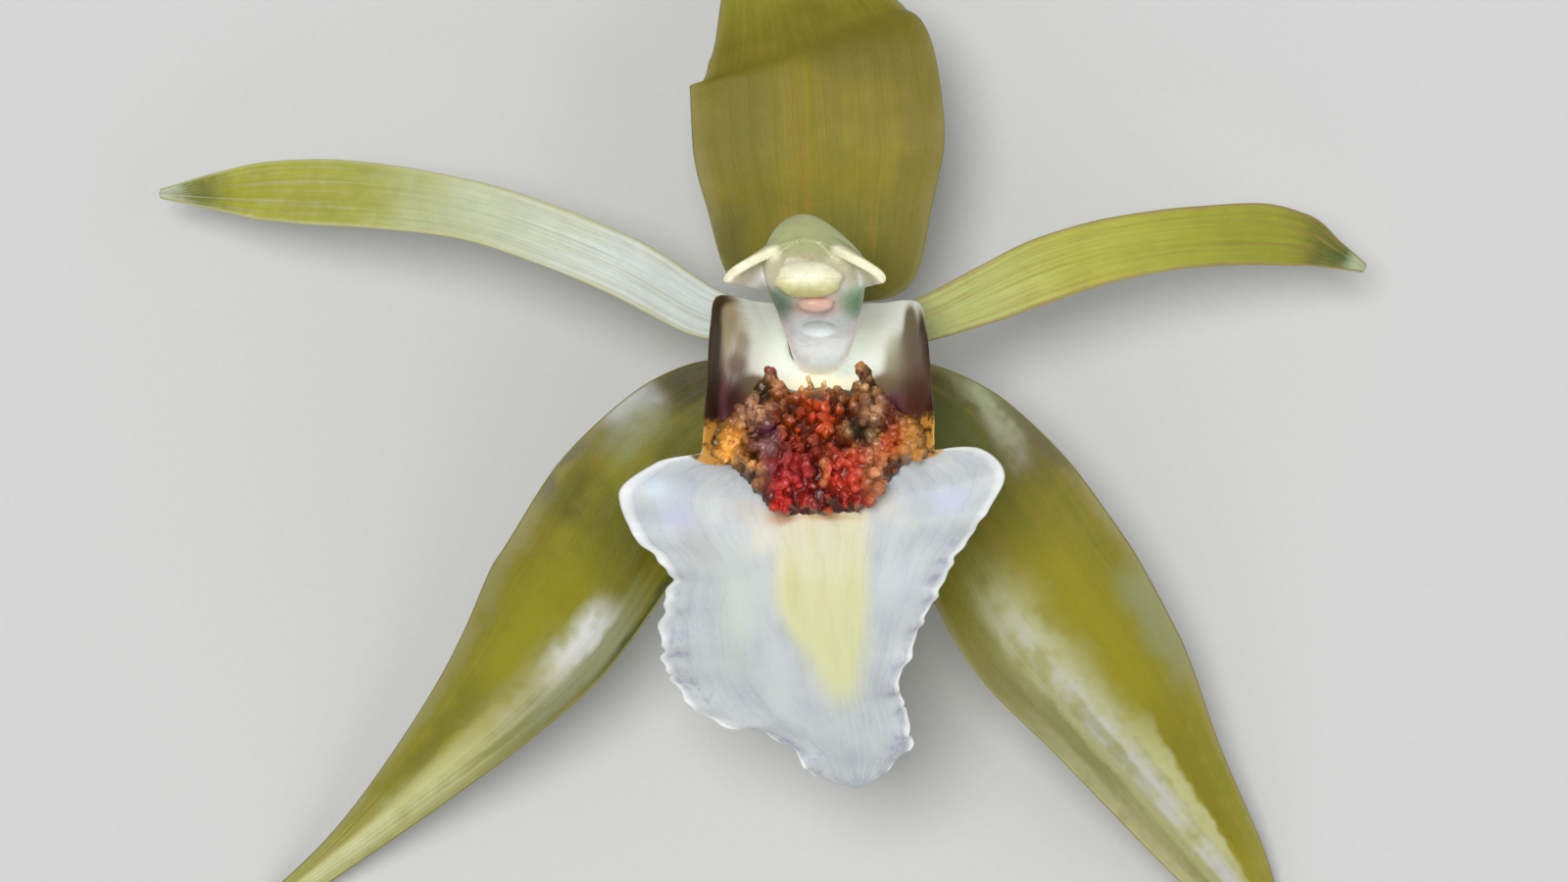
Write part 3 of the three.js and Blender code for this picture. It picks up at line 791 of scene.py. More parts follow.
@dataclass(frozen=True)
class TepalFinish:
    """The skin of a sepal or a petal.

    Attributes:
        name: Name of the material.
        stops: Colours along the blade, by the share along.
        streak: Colour of the broad streaks that run along it.
        margin: Colour of its edges.
        vein: Colour of its veins.
        back: Colour behind it.
        veins: How many veins run side by side over one half.
        bands: Bands of other colours, from the lowest to the highest.
        gloss: Roughness of the skin.
        depth: Constant part of its shading; 0.55 leaves its colours as they are on the whole.
    """

    name: str
    stops: Stops
    streak: Colour
    margin: Colour
    vein: Colour
    back: Colour
    veins: float
    bands: tuple[Band, ...] = ()
    gloss: float = 0.5
    depth: float = 0.43

    def material(self) -> bpy.types.Material:
        """Colours along the blade, crossed by fine veins, bands, edges and a beaded cell relief.

        Returns:
            The finished material.
        """
        graph = Graph(self.name)
        along, across, front = (graph.mark(name) for name in (Mark.ALONG, Mark.ACROSS, Mark.FRONT))
        clouds = graph.noise(5.0)
        fibres = graph.noise(1.0, 4.0, graph.along_blade(7.0, 2.0))
        threads = graph.noise(1.0, 3.0, graph.along_blade(40.0, 4.0))
        mottle = graph.noise(1.3, 4.0)
        blotches = graph.noise(3.4, 2.0) * 0.75 + fibres * 0.25
        wave = (across * (self.veins * math.pi)).frayed((fibres, 5.0), (clouds, 2.0))
        line = abs(wave.sine()).step(0.3, 0.0)
        streaks = fibres.frayed((mottle, 0.3)).step(0.48, 0.68)
        body = graph.ramp(along.frayed((clouds, 0.14), (fibres, 0.12)), self.stops)
        body = graph.blend(body, self.streak, streaks * 0.6)
        body = graph.blend(body, self.vein, line * threads.step(0.35, 0.65) * 0.16 * front)
        body = graph.shade(body, threads * 0.35 + blotches * 0.35 + mottle * 0.2 + self.depth)
        edge = abs(across).frayed((clouds, 0.14), (mottle, 0.06)).step(0.86, 1.0)
        body = graph.blend(body, self.margin, edge * 0.8)
        masks = [band.mask(graph, blotches) for band in self.bands]
        body = graph.cover(body, [(band.colour, mask * front) for band, mask in zip(self.bands, masks)])
        body = graph.blend(self.back, body, front * 0.92 + 0.08)
        height = (1.0 - graph.cells(0.16)) * 0.35 + line * -0.25 + threads * 0.6 + mottle * 0.5
        rough = (threads - 0.5) * 0.16 + self.gloss - sum(masks) * 0.04
        constants = flesh(0.2, 1.0, 0.0) | {"Specular IOR Level": 0.2}
        return graph.finish(body, rough, height, 0.05, constants)


@dataclass(frozen=True)
class Zone:
    """A soft oval patch, as seen from the front of the flower, in millimetres.

    Attributes:
        x: Where its middle stands across the flower.
        y: Where its middle stands along the flower.
        half_x: Half its width.
        half_y: Half its length.
        colour: Its colour; a patch that only marks a place needs none.
        strength: Its weight at its middle.
    """

    x: float
    y: float
    half_x: float
    half_y: float
    colour: Colour = (0, 0, 0)
    strength: float = 1.0

    def weight(self, points: Array) -> Array:
        """Strength times a bell of the distance from the patch's middle."""
        away = ((points[:, 0] - self.x) / self.half_x) ** 2 + ((points[:, 1] - self.y) / self.half_y) ** 2
        return self.strength * np.exp(-away)


def reached(points: Array, zones: Sequence[Zone]) -> Array:
    """How far zones reach each point: the sum of their weights there, held to 1."""
    return np.clip(sum(zone.weight(points) for zone in zones), 0.0, 1.0)


def painted(colours: Array, colour: Colour, share: Array) -> Array:
    """Colours moved towards one colour by a share from 0 to 1 each."""
    return colours * (1 - share[:, None]) + np.array(linear(colour)) * share[:, None]


def zoned(points: Array, ground: Colour, zones: Sequence[Zone], hold: float) -> Array:
    """Colour of each point: the zones' colours and the ground's, by their weights.

    Args:
        points: Points, one row each.
        ground: Colour where no zone reaches.
        zones: Patches of colour.
        hold: Weight of the ground.

    Returns:
        Linear colours, four numbers a row.
    """
    weights = np.stack([np.full(len(points), hold)] + [z.weight(points) for z in zones], -1)
    colours = np.array([linear(ground)] + [linear(z.colour) for z in zones])
    return (weights @ colours) / weights.sum(-1, keepdims=True)


@dataclass(frozen=True)
class LipFinish:
    """The lip: white with a lavender cast, a yellow floor and stained side lobes."""

    white: Colour = (198, 203, 204)
    lavender: Colour = (160, 167, 186)
    warm: Colour = (190, 197, 186)
    # a whiter margin that also stands in for the highlight on the rolled rim
    rim_white_and_highlight: Colour = (236, 238, 232)
    # painted shade of the folds along the midlobe's margin
    crimp_shade: Colour = (150, 152, 176)
    base: Colour = (246, 248, 238)
    cream: Colour = (252, 244, 218)
    floor: Stops = (
        (0.46, (222, 202, 158)), (0.56, (216, 212, 182)), (0.64, (214, 213, 164)),
        (0.74, (213, 214, 162)), (0.82, (212, 216, 170)), (0.9, (208, 215, 184)),
    )
    yellow_deep: Colour = (198, 192, 120)
    amber: Colour = (208, 150, 66)
    brown: Colour = (44, 24, 6)
    tan: Colour = (176, 156, 118)
    maroon: Colour = (98, 28, 40)
    streak: Colour = (146, 84, 92)
    back: Colour = (226, 228, 222)

    def material(self) -> bpy.types.Material:
        """A pale cloth, then the zones that the vertices mark, each frayed by noise.

        Returns:
            The finished material.
        """
        graph = Graph("lip_tissue")
        front, along, across = (graph.mark(name) for name in (Mark.FRONT, Mark.ALONG, Mark.ACROSS))
        gold, stain, rim = (graph.mark(name) for name in (Mark.GOLD, Mark.STAIN, Mark.RIM))
        clouds = graph.noise(3.5)
        fibres = graph.noise(1.0, 4.0, graph.along_blade(7.0, 5.0))
        threads = graph.noise(1.0, 3.0, graph.along_blade(30.0, 6.0))
        line = abs((across * 30.0).frayed((fibres, 7.0)).sine()).step(0.5, 0.0) * clouds.step(0.3, 0.6)
        # folds, folded, crinkle and near place the painted shade in the folds along the margin
        folds = (along * 290.0).frayed((fibres, 9.0)).sine().step(-0.2, 0.9) * clouds.step(0.4, 0.62)
        folded = abs(across).step(0.8, 0.9) * along.step(0.52, 0.64)
        crinkle = graph.noise(1.1).frayed((threads, 0.3)).step(0.5, 0.64) * along.step(0.62, 0.78)
        near = (abs(across).frayed((clouds, 0.5)) + along.step(0.82, 0.97) * 0.4).step(0.62, 0.92)
        root = along.step(0.4, 0.28)
        cloth = (
            (self.lavender, (clouds * 0.7 + fibres * 0.7 - 0.32).step(0.2, 0.85)),
            (self.lavender, line * 0.1),
            (self.warm, (threads - 0.35).step(0.0, 0.5) * 0.45),
            # painted shade in the folds and crinkles near the margin
            (self.crimp_shade, folds * folded * 0.6),
            (self.crimp_shade, crinkle * near * 0.55),
            # whiter margin, partly a painted highlight on the rolled rim
            (self.rim_white_and_highlight, abs(across).frayed((fibres, 0.1)).step(0.92, 0.985)),
            (self.base, root * 0.85),
            (self.cream, along.step(0.14, 0.19) * root * abs(across).step(0.42, 0.26)),
        )
        ragged = (gold + (fibres - 0.5) * 0.5 * gold.step(0.0, 0.5)).step(0.05, 0.9)
        streaks = stain.frayed((threads, 0.5), (fibres, 0.5)).step(0.15, 0.8)
        spotted = graph.blend(self.amber, self.brown, graph.noise(0.9, 4.0).step(0.47, 0.6) * 0.85)
        tinted = graph.mark(Mark.TIP).frayed((fibres, 0.3), (threads, 0.2)).step(0.15, 0.85)
        zones = (
            (graph.ramp(along, self.floor), ragged * 0.95),
            (self.yellow_deep, (gold * fibres).step(0.42, 0.75) * 0.5),
            (self.tan, graph.mark(Mark.THROAT).frayed((fibres, 0.4)).step(0.25, 0.8) * front * 0.9),
            (self.maroon, streaks * stain.step(0.02, 0.4) * 0.92),
            (self.streak, (streaks * stain * threads).step(0.3, 0.55) * 0.7),
            (self.brown, rim.frayed((threads, 0.4), (fibres, 0.3)).step(0.15, 0.85)),
            (graph.mark(Mark.TISSUE), tinted * front),
            (spotted, graph.mark(Mark.AMBER).frayed((fibres, 0.4)).step(0.3, 0.65)),
        )
        body = graph.cover(self.white, (*cloth, *zones))
        body = graph.blend(self.back, body, front.larger(rim))
        height = (1.0 - graph.cells(0.14)) * 0.3 + line * -0.5 + threads * 0.5
        # painted light: the marked foot of the trough glows with a share of its colour
        constants = flesh(0.3, 1.6, 0.05) | graph.glow(body, graph.mark(Mark.LIT) * front)
        return graph.finish(body, (threads - 0.5) * 0.15 + 0.46, height, 0.045, constants)


@dataclass(frozen=True)
class FleshFinish:
    """Tissue whose colour the vertices carry: crests, column and anther cap.

    Attributes:
        name: Name of the material.
        speck: Colour of the fine specks.
        specks: How much of the specks shows.
        speck_size: Size of their cells in millimetres.
        root: Share of its brightness that is left where its tip mark is 0, as painted shade.
        gloss: Roughness.
        glow: Share of light that sinks in.
        coat: Strength of the moist layer.
        lit: Whether it glows with painted light where the vertices are marked so, which brightens its shade.
    """

    name: str
    speck: Colour
    specks: float
    speck_size: float
    root: float
    gloss: float
    glow: float
    coat: float
    lit: bool = False

    def material(self) -> bpy.types.Material:
        """The carried colour, with painted shade at the roots, specked and beaded.

        Returns:
            The finished material.
        """
        graph = Graph(self.name)
        tip = graph.mark(Mark.TIP)
        clouds = graph.noise(1.2)
        grain = graph.noise(0.35, 4.0)
        specks = graph.cells(self.speck_size).frayed((grain, 0.5)).step(0.34, 0.16)
        body = graph.shade(graph.mark(Mark.TISSUE), (clouds - 0.5) * 0.5 + 1.0)
        body = graph.blend(body, self.speck, specks * self.specks)
        # painted shade: darker away from the tips, in the gaps between the crests' fingers
        body = graph.shade(body, tip * (1.0 - self.root) + self.root)
        height = grain * 0.7 + (1.0 - graph.cells(0.2)) * 0.5
        constants = flesh(self.glow, 0.7, self.coat)
        # painted light: an emission that brightens the shaded tissue where it is marked
        if self.lit:
            constants |= graph.glow(body, graph.mark(Mark.LIT))
        return graph.finish(body, (grain - 0.5) * 0.2 + self.gloss, height, 0.05, constants)


@dataclass(frozen=True)
class StalkFinish:
    """Green ovary and stalk with pale ribs, a brownish flush and a moist cut."""

    green: Colour = (122, 136, 62)
    deep: Colour = (86, 102, 44)
    flush: Colour = (130, 104, 62)
    pale: Colour = (214, 214, 170)
    pith: Colour = (196, 204, 150)

    def material(self) -> bpy.types.Material:
        """Fine lines along the stalk, cloudy greens, brown flecks, a pale collar and the cut end.

        Returns:
            The finished material.
        """
        graph = Graph("stalk_tissue")
        clouds = graph.noise(4.0)
        lines = graph.noise(1.0, 4.0, graph.along_blade(40.0, 3.0))
        body = graph.blend(self.deep, self.green, clouds * 0.6 + lines * 0.6)
        flecks = graph.cells(0.8).frayed((lines, 0.4)).step(0.2, 0.08)
        layers = (
            (self.flush, (clouds * lines).step(0.28, 0.5) * 0.7),
            (self.flush, flecks * 0.8),
            (self.pale, graph.mark(Mark.TIP)),
            (graph.blend(self.pith, self.pale, graph.noise(0.3)), graph.mark(Mark.CUT)),
        )
        body = graph.cover(body, layers)
        height = lines * 0.8 + (1.0 - graph.cells(0.25)) * 0.3
        return graph.finish(body, (clouds - 0.5) * 0.15 + 0.45, height, 0.06, flesh(0.12, 1.0, 0.1))


# ---- tepals


@dataclass
class Tepal:
    """A sepal or a petal: a midrib that carries two sides, each an arc in the plane across it.

    Attributes:
        name: Name of the piece.
        node: The solid it stands for.
        slot: Its material slot.
        stations: From the seat to the tip: the midrib's place, the half widths to its left and its
            right, the angles in degrees at which the left side rises at the midrib and at its
            margin, and those of the right side.
        ripple: Depth, count and shift of the waves along the margins.
        finish: Its skin.
        grooves: How many veins are sunk into one half, and how deep.
        crease: Depth of the channel along the midrib.
        rows: Rings of points from the seat to the tip.
        sides: Points in a ring.
    """

    name: str
    node: str
    slot: str
    stations: Stations
    ripple: tuple[float, float, float]
    finish: TepalFinish
    grooves: tuple[float, float]
    crease: float
    rows: int = 170
    sides: int = 120

    def __post_init__(self) -> None:
        """Runs a track through the stations, with their angles in radians."""
        rows = np.array(self.stations, float)
        rows[:, 5:] = np.radians(rows[:, 5:])
        self.track = Track(rows)

    def middle(self, u: Array, v: Array) -> Array:
        """Middle surface: the midrib's place, plus each side's arc end along and above it.

        The height is multiplied by v (half + fold)/(half v + fold), so the sides meet in a round
        channel about as wide as the fold.
        The wave is depth times v^2 times a sine along the blade, calmed at both ends, with a finer
        one of a quarter of its depth that shows only near the margin.

        Args:
            u: Shares along.
            v: Shares across, below 0 on the left as seen from the seat.

        Returns:
            Points.
        """
        row = self.track(u)
        along = self.track.heading(u)
        up = level(UP, along)
        across = np.cross(along, up)
        left = v < 0
        half, root, rim = (np.where(left, row[..., a], row[..., b]) for a, b in ((3, 4), (5, 7), (6, 8)))
        share = np.abs(v)
        aside, above = arc_end(half * share, root, root + (rim - root) * share)
        above = above * share * (half + FOLD) / (half * share + FOLD)
        depth, count, shift = self.ripple
        phase = np.where(left, 0.0, shift)
        wave = depth * share**2 * np.sin(2 * np.pi * count * u + phase)
        wave = wave + 0.25 * depth * share**5 * np.sin(2 * np.pi * 3.7 * count * u + 2 * phase)
        fade = np.minimum(1.0, np.minimum(u, 1 - u) / 0.25)
        return row[..., :3] + across * (np.sign(v) * aside)[..., None] + up * (above + wave * fade)[..., None]

    def front(self, u: Array, v: Array) -> Array:
        """Half the thickness, less fine grooves between the veins and a channel at the midrib.

        Args:
            u: Shares along.
            v: Shares across.

        Returns:
            How far the front stands off the middle surface.
        """
        count, depth = self.grooves
        swell = np.cos(2 * np.pi * count * v + 1.5 * np.sin(5 * u)) * (1 - v**4)
        channel = self.crease * bump(v * self.track(u)[..., 3], 0.0, 0.7) * np.sin(np.pi * u)
        uneven = 0.06 * np.sin(9 * u + 4 * v) * np.sin(17 * u - 7 * v + 1.0)
        return self.depth(v) + depth * swell - channel + uneven * (1 - v**2)

    def back(self, u: Array, v: Array) -> Array:
        """Half the thickness, a keel behind the midrib and a foot that reaches the seat.

        Args:
            u: Shares along.
            v: Shares across.

        Returns:
            How far the back stands off the middle surface.
        """
        keel = 0.5 * np.exp(-((np.abs(v) / 0.16) ** 2)) * np.sin(np.pi * u)
        foot = (GAP + 0.02) * (1 - smooth(u, 0.02, 0.06))
        count, depth = self.grooves
        return self.depth(v) + keel + foot + depth * np.cos(2 * np.pi * count * v) * (1 - v**4)

    @staticmethod
    def depth(v: Array) -> Array:
        """Half the thickness: 0.42 mm beside the midrib and 0.18 mm at the margin."""
        return 0.18 + 0.24 * (1 - v**2)

    def build(self) -> Skin:
        """The blade, with rows closer together at both ends.

        Returns:
            Its skin.
        """
        even = np.linspace(0.0, 1.0, self.rows)
        rows = 0.7 * even + 0.3 * (1 - np.cos(np.pi * even)) / 2
        return leaf(self.middle, self.front, self.back, rows, self.sides)


DORSAL_SEPAL = (
    (0.2, 3.5, BASE, 3.0, 3.0, 6, 12, 6, 12),
    (0.4, 5.8, BASE + 0.7, 8.4, 8.3, 5, 18, 5, 18),
    (0.2, 11.5, 17.0, 10.0, 9.9, 4, 14, 4, 14),
    (-0.1, 17.4, 17.9, 11.0, 11.2, 3, 6, 3, 8),
    (-0.5, 23.5, 17.7, 10.9, 10.8, 2, -3, 2, -4),
    (-1.3, 26.6, 16.6, 8.7, 9.4, 2, -6, 2, -10),
    (-2.7, 31.0, 13.6, 6.4, 6.3, 2, -6, 2, -10),
    (-4.3, 36.2, 7.8, 4.5, 4.4, 4, 8, 4, 8),
    (-5.5, 41.4, 2.9, 2.5, 2.4, 6, 12, 6, 12),
    (-6.4, 45.6, 0.15, 0.5, 0.5, 0, 0, 0, 0),
)

LEFT_PETAL = (
    (-4.1, 0.8, BASE, 1.4, 1.4, 6, 10, 6, 10),
    (-6.8, 1.3, 16.7, 1.8, 1.8, 6, 10, 6, 10),
    (-10.0, 2.2, 18.0, 2.3, 2.3, 6, 12, 6, 12),
    (-16.8, 6.0, 18.9, 2.7, 2.7, 6, 12, 6, 12),
    (-23.7, 8.9, 18.9, 2.7, 2.7, 6, 12, 6, 12),
    (-30.6, 11.1, 18.1, 2.65, 2.65, 6, 10, 6, 10),
    (-37.5, 12.3, 16.5, 2.85, 2.85, 4, 6, 4, 6),
    (-43.5, 12.9, 14.3, 2.95, 2.95, 4, 4, 4, 4),
    (-49.0, 13.1, 11.8, 2.6, 2.7, 6, 10, 6, 10),
    (-53.8, 13.1, 9.5, 1.6, 1.9, 12, 24, 12, 24),
    (-59.2, 13.2, 7.2, 0.4, 0.4, 16, 30, 16, 30),
)

RIGHT_PETAL = (
    (4.1, 0.6, BASE, 1.4, 1.4, 6, 10, 6, 10),
    (6.8, 0.8, 16.6, 1.8, 1.8, 6, 10, 6, 10),
    (10.0, 1.8, 17.8, 2.05, 2.05, 6, 12, 6, 12),
    (14.8, 4.1, 18.4, 2.25, 2.9, 6, 12, 6, 12),
    (20.2, 6.4, 18.6, 2.55, 3.3, 6, 12, 6, 12),
    (26.0, 8.0, 18.1, 2.55, 3.1, 6, 10, 6, 10),
    (32.7, 8.9, 16.8, 2.6, 2.8, 4, 6, 4, 6),
    (38.8, 9.2, 14.6, 2.75, 2.75, 4, 4, 4, 4),
    (42.8, 8.9, 12.8, 2.3, 2.5, 6, 10, 6, 10),
    (45.9, 7.7, 11.4, 1.3, 1.5, 12, 24, 12, 24),
    (48.9, 6.4, 9.9, 0.4, 0.4, 16, 30, 16, 30),
)

LEFT_LATERAL = (
    (-3.0, -3.4, BASE, 2.1, 2.4, 8, 14, 4, 8),
    (-5.9, -6.0, 15.0, 4.0, 5.6, 14, 30, 4, 8),
    (-10.0, -10.0, 14.6, 6.0, 8.2, 22, 48, 3, 8),
    (-15.0, -17.2, 13.4, 7.2, 10.2, 34, 72, 2, 8),
    (-19.8, -25.4, 11.8, 7.4, 10.6, 44, 82, 2, 8),
    (-26.6, -33.0, 9.3, 5.8, 8.1, 46, 82, 2, 10),
    (-35.2, -40.2, 5.8, 3.9, 4.6, 42, 74, 6, 20),
    (-44.1, -47.0, 2.3, 2.4, 1.7, 34, 60, 14, 30),
    (-52.2, -53.2, 0.15, 0.5, 0.5, 0, 0, 0, 0),
)

RIGHT_LATERAL = (
    (3.0, -3.4, BASE, 2.4, 2.1, 4, 8, 8, 14),
    (5.8, -6.2, 15.0, 5.8, 3.8, 4, 8, 12, 26),
    (9.4, -10.6, 14.6, 8.8, 6.0, 3, 8, 18, 40),
    (13.8, -17.4, 13.6, 10.8, 7.6, 2, 8, 24, 52),
    (18.2, -24.7, 12.3, 11.5, 8.4, 2, 8, 26, 54),
    (24.6, -32.5, 10.2, 9.8, 7.4, 2, 8, 28, 54),
    (31.3, -40.5, 7.2, 6.3, 6.0, 4, 12, 24, 48),
    (37.4, -48.2, 3.8, 3.9, 4.3, 8, 20, 20, 40),
    (41.8, -54.4, 1.3, 1.6, 2.0, 6, 12, 10, 20),
    (44.6, -58.6, 0.15, 0.5, 0.5, 0, 0, 0, 0),
)

OLIVE_STREAK = (150, 122, 46)
OLIVE_MARGIN = (150, 142, 92)
OLIVE_VEIN = (96, 88, 26)
OLIVE_BACK = (128, 128, 62)

DORSAL_FINISH = TepalFinish(
    "dorsal_sepal_skin",
    (
        # painted shade: darker at the base round the column and in a dip at the bend near 0.5; the lighter
        # part beyond the bend is partly painted light on the tip that leans back
        (0.0, (96, 98, 48)), (0.14, (112, 108, 38)), (0.26, (148, 136, 38)), (0.42, (144, 132, 34)),
        (0.5, (128, 118, 30)), (0.58, (134, 126, 34)), (0.66, (154, 148, 46)), (1.0, (152, 150, 66)),
    ),
    OLIVE_STREAK,
    OLIVE_MARGIN,
    OLIVE_VEIN,
    OLIVE_BACK,
    veins=6.0,
    bands=(
        Band(-0.66, -0.66, 0.42, 0.0, 0.6, (116, 108, 26), 0.8, 0.85),
        # painted shade along the bend
        Band(0.45, 0.45, 0.6, 0.38, 0.56, (108, 100, 22), 0.6, 0.9),
        Band(0.85, 0.85, 0.3, 0.0, 0.6, (118, 108, 32), 0.65, 0.8),
        # painted shade at the base: round the hood, and beside it on the left
        Band(0.0, 0.0, 0.45, 0.0, 0.24, (112, 114, 40), 0.8, 0.9),
        Band(-0.88, -0.85, 0.25, 0.0, 0.27, (96, 94, 42), 0.7, 0.9),
    ),
)

LATERAL_BANDS_LEFT = (
    Band(0.4, 0.35, 0.45, 0.24, 0.8, (150, 146, 22), 0.7, 0.75),
    # painted shade beside the lip's ear
    Band(0.05, 0.05, 0.6, 0.16, 0.5, (90, 90, 12), 0.8, 0.9),
    Band(0.65, 0.6, 0.4, 0.33, 0.43, (92, 92, 24), 0.8, 0.6),
    # painted highlight: the paler inner half beside the midrib
    Band(-0.5, -0.6, 0.5, 0.4, 0.7, (168, 174, 136), 0.85, 0.85),
    Band(-1.0, -1.0, 0.24, 0.3, 0.56, (78, 86, 42), 0.95, 0.95),
    # painted highlight: the pale streak at the midrib and the cream sheen towards the tip
    Band(-0.35, -0.4, 0.95, 0.58, 1.4, (200, 200, 138), 0.95, 0.95),
    Band(-0.3, -0.3, 0.7, 0.62, 1.4, (226, 228, 184), 0.7, 0.5),
    Band(-0.12, -0.08, 0.3, 0.45, 0.61, (226, 227, 224), 0.95, 0.9),
    Band(-0.1, -0.1, 0.5, 0.5, 0.7, (204, 200, 164), 0.6, 0.6),
    # painted shade near the seat, beside the lip
    Band(0.8, 0.8, 0.5, 0.08, 0.26, (74, 68, 34), 0.95, 0.95),
    Band(1.0, 0.95, 0.2, 0.3, 0.95, (146, 142, 96), 0.6, 0.7),
    Band(1.05, 0.9, 0.45, 0.215, 0.31, (182, 186, 182), 1.0, 0.9),
    Band(0.7, 0.65, 0.3, 0.23, 0.34, (140, 142, 98), 0.8, 0.7),
    Band(0.85, 0.85, 0.3, 0.2, 0.34, (120, 108, 104), 0.8, 0.3),
    Band(1.0, 0.92, 0.14, 0.3, 0.42, (106, 104, 80), 0.8, 0.9),
    Band(0.5, 0.5, 0.26, 0.6, 0.8, (114, 110, 38), 0.7, 0.8),
    Band(-0.46, -0.44, 0.14, 0.58, 0.72, (138, 140, 62), 0.5, 0.7),
)
LATERAL_BANDS_RIGHT = (
    Band(-0.4, -0.35, 0.45, 0.3, 0.9, (148, 138, 22), 0.7, 0.8),
    Band(0.7, 0.6, 0.6, 0.36, 1.3, (144, 142, 92), 0.85, 0.9),
    # a paler streak beside the midrib, mostly a painted highlight and reflection
    Band(0.25, 0.0, 0.5, 0.33, 1.3, (166, 164, 104), 0.9, 0.95),
    Band(0.3, 0.08, 0.42, 0.34, 1.3, (196, 197, 156), 0.8, 0.6),
    Band(0.35, 0.05, 0.36, 0.38, 1.2, (208, 202, 220), 0.8, 0.4),
    Band(0.2, 0.0, 0.4, 0.4, 1.2, (126, 132, 60), 0.7, 0.2),
    # painted light that lightens the shade of the fold beside the pale streak
    Band(0.58, 0.4, 0.26, 0.42, 1.3, (180, 178, 122), 0.7, 0.7),
    Band(0.95, 0.9, 0.3, 0.45, 1.1, (188, 186, 138), 0.8, 0.7),
    Band(-0.95, -0.9, 0.3, 0.44, 0.62, (142, 144, 102), 0.85, 0.7),
    Band(-0.52, -0.5, 0.25, 0.56, 0.8, (122, 114, 30), 0.6, 0.8),
    # painted shade at the base, beside the lip's wall
    Band(-0.35, -0.35, 0.55, 0.08, 0.34, (84, 90, 40), 0.8, 0.85),
    Band(-0.95, -0.9, 0.35, 0.08, 0.36, (100, 94, 58), 0.85, 0.85),
    Band(-1.26, 0.59, 0.17, 0.13, 0.3, (158, 166, 128), 0.9, 0.65),
    Band(-1.18, 0.6, 0.18, 0.2, 0.32, (176, 160, 158), 0.7, 0.45),
    Band(-1.0, -1.0, 0.14, 0.18, 0.36, (102, 98, 66), 0.8, 0.95),
    Band(-0.2, -0.24, 0.16, 0.56, 0.84, (194, 193, 142), 0.75, 0.85),
    Band(0.24, 0.22, 0.14, 0.52, 0.68, (154, 155, 112), 0.65, 0.85),
    Band(0.58, 0.6, 0.14, 0.48, 0.66, (132, 131, 86), 0.6, 0.85),
)

LATERAL_STOPS = (
    # darker towards the seat: painted shade under the lip and the column
    (0.0, (80, 78, 38)), (0.16, (98, 96, 34)), (0.3, (128, 124, 34)), (0.5, (142, 136, 36)),
    (0.75, (146, 142, 48)), (1.0, (186, 182, 110)),
)


def lateral_finish(name: str, bands: tuple[Band, ...]) -> TepalFinish:
    """The olive skin of a lateral sepal, with bands of its own."""
    olives = (OLIVE_STREAK, OLIVE_MARGIN, OLIVE_VEIN, OLIVE_BACK)
    return TepalFinish(name, LATERAL_STOPS, *olives, veins=5.0, bands=bands)


LEFT_PETAL_FINISH = TepalFinish(
    "left_petal_skin",
    (
        # painted highlight: the whitish base stands for glare on the petal
        (0.0, (228, 237, 238)), (0.3, (223, 231, 223)), (0.5, (204, 211, 172)), (0.64, (178, 181, 84)),
        (0.86, (180, 179, 58)), (0.94, (126, 132, 66)), (1.0, (222, 228, 200)),
    ),
    streak=(190, 186, 150),
    margin=(196, 192, 142),
    vein=(150, 150, 84),
    back=(176, 180, 112),
    veins=3.0,
)

RIGHT_PETAL_FINISH = TepalFinish(
    "right_petal_skin",
    (
        (0.0, (168, 166, 136)), (0.14, (172, 173, 128)), (0.23, (194, 200, 128)),
        (0.42, (192, 192, 86)), (0.6, (172, 172, 62)), (0.75, (160, 160, 54)), (0.84, (116, 118, 48)),
        (0.94, (98, 114, 58)), (1.0, (200, 216, 176)),
    ),
    streak=(164, 138, 72),
    margin=(158, 134, 92),
    vein=(132, 124, 56),
    back=(168, 168, 96),
    veins=3.0,
)


# ---- lip


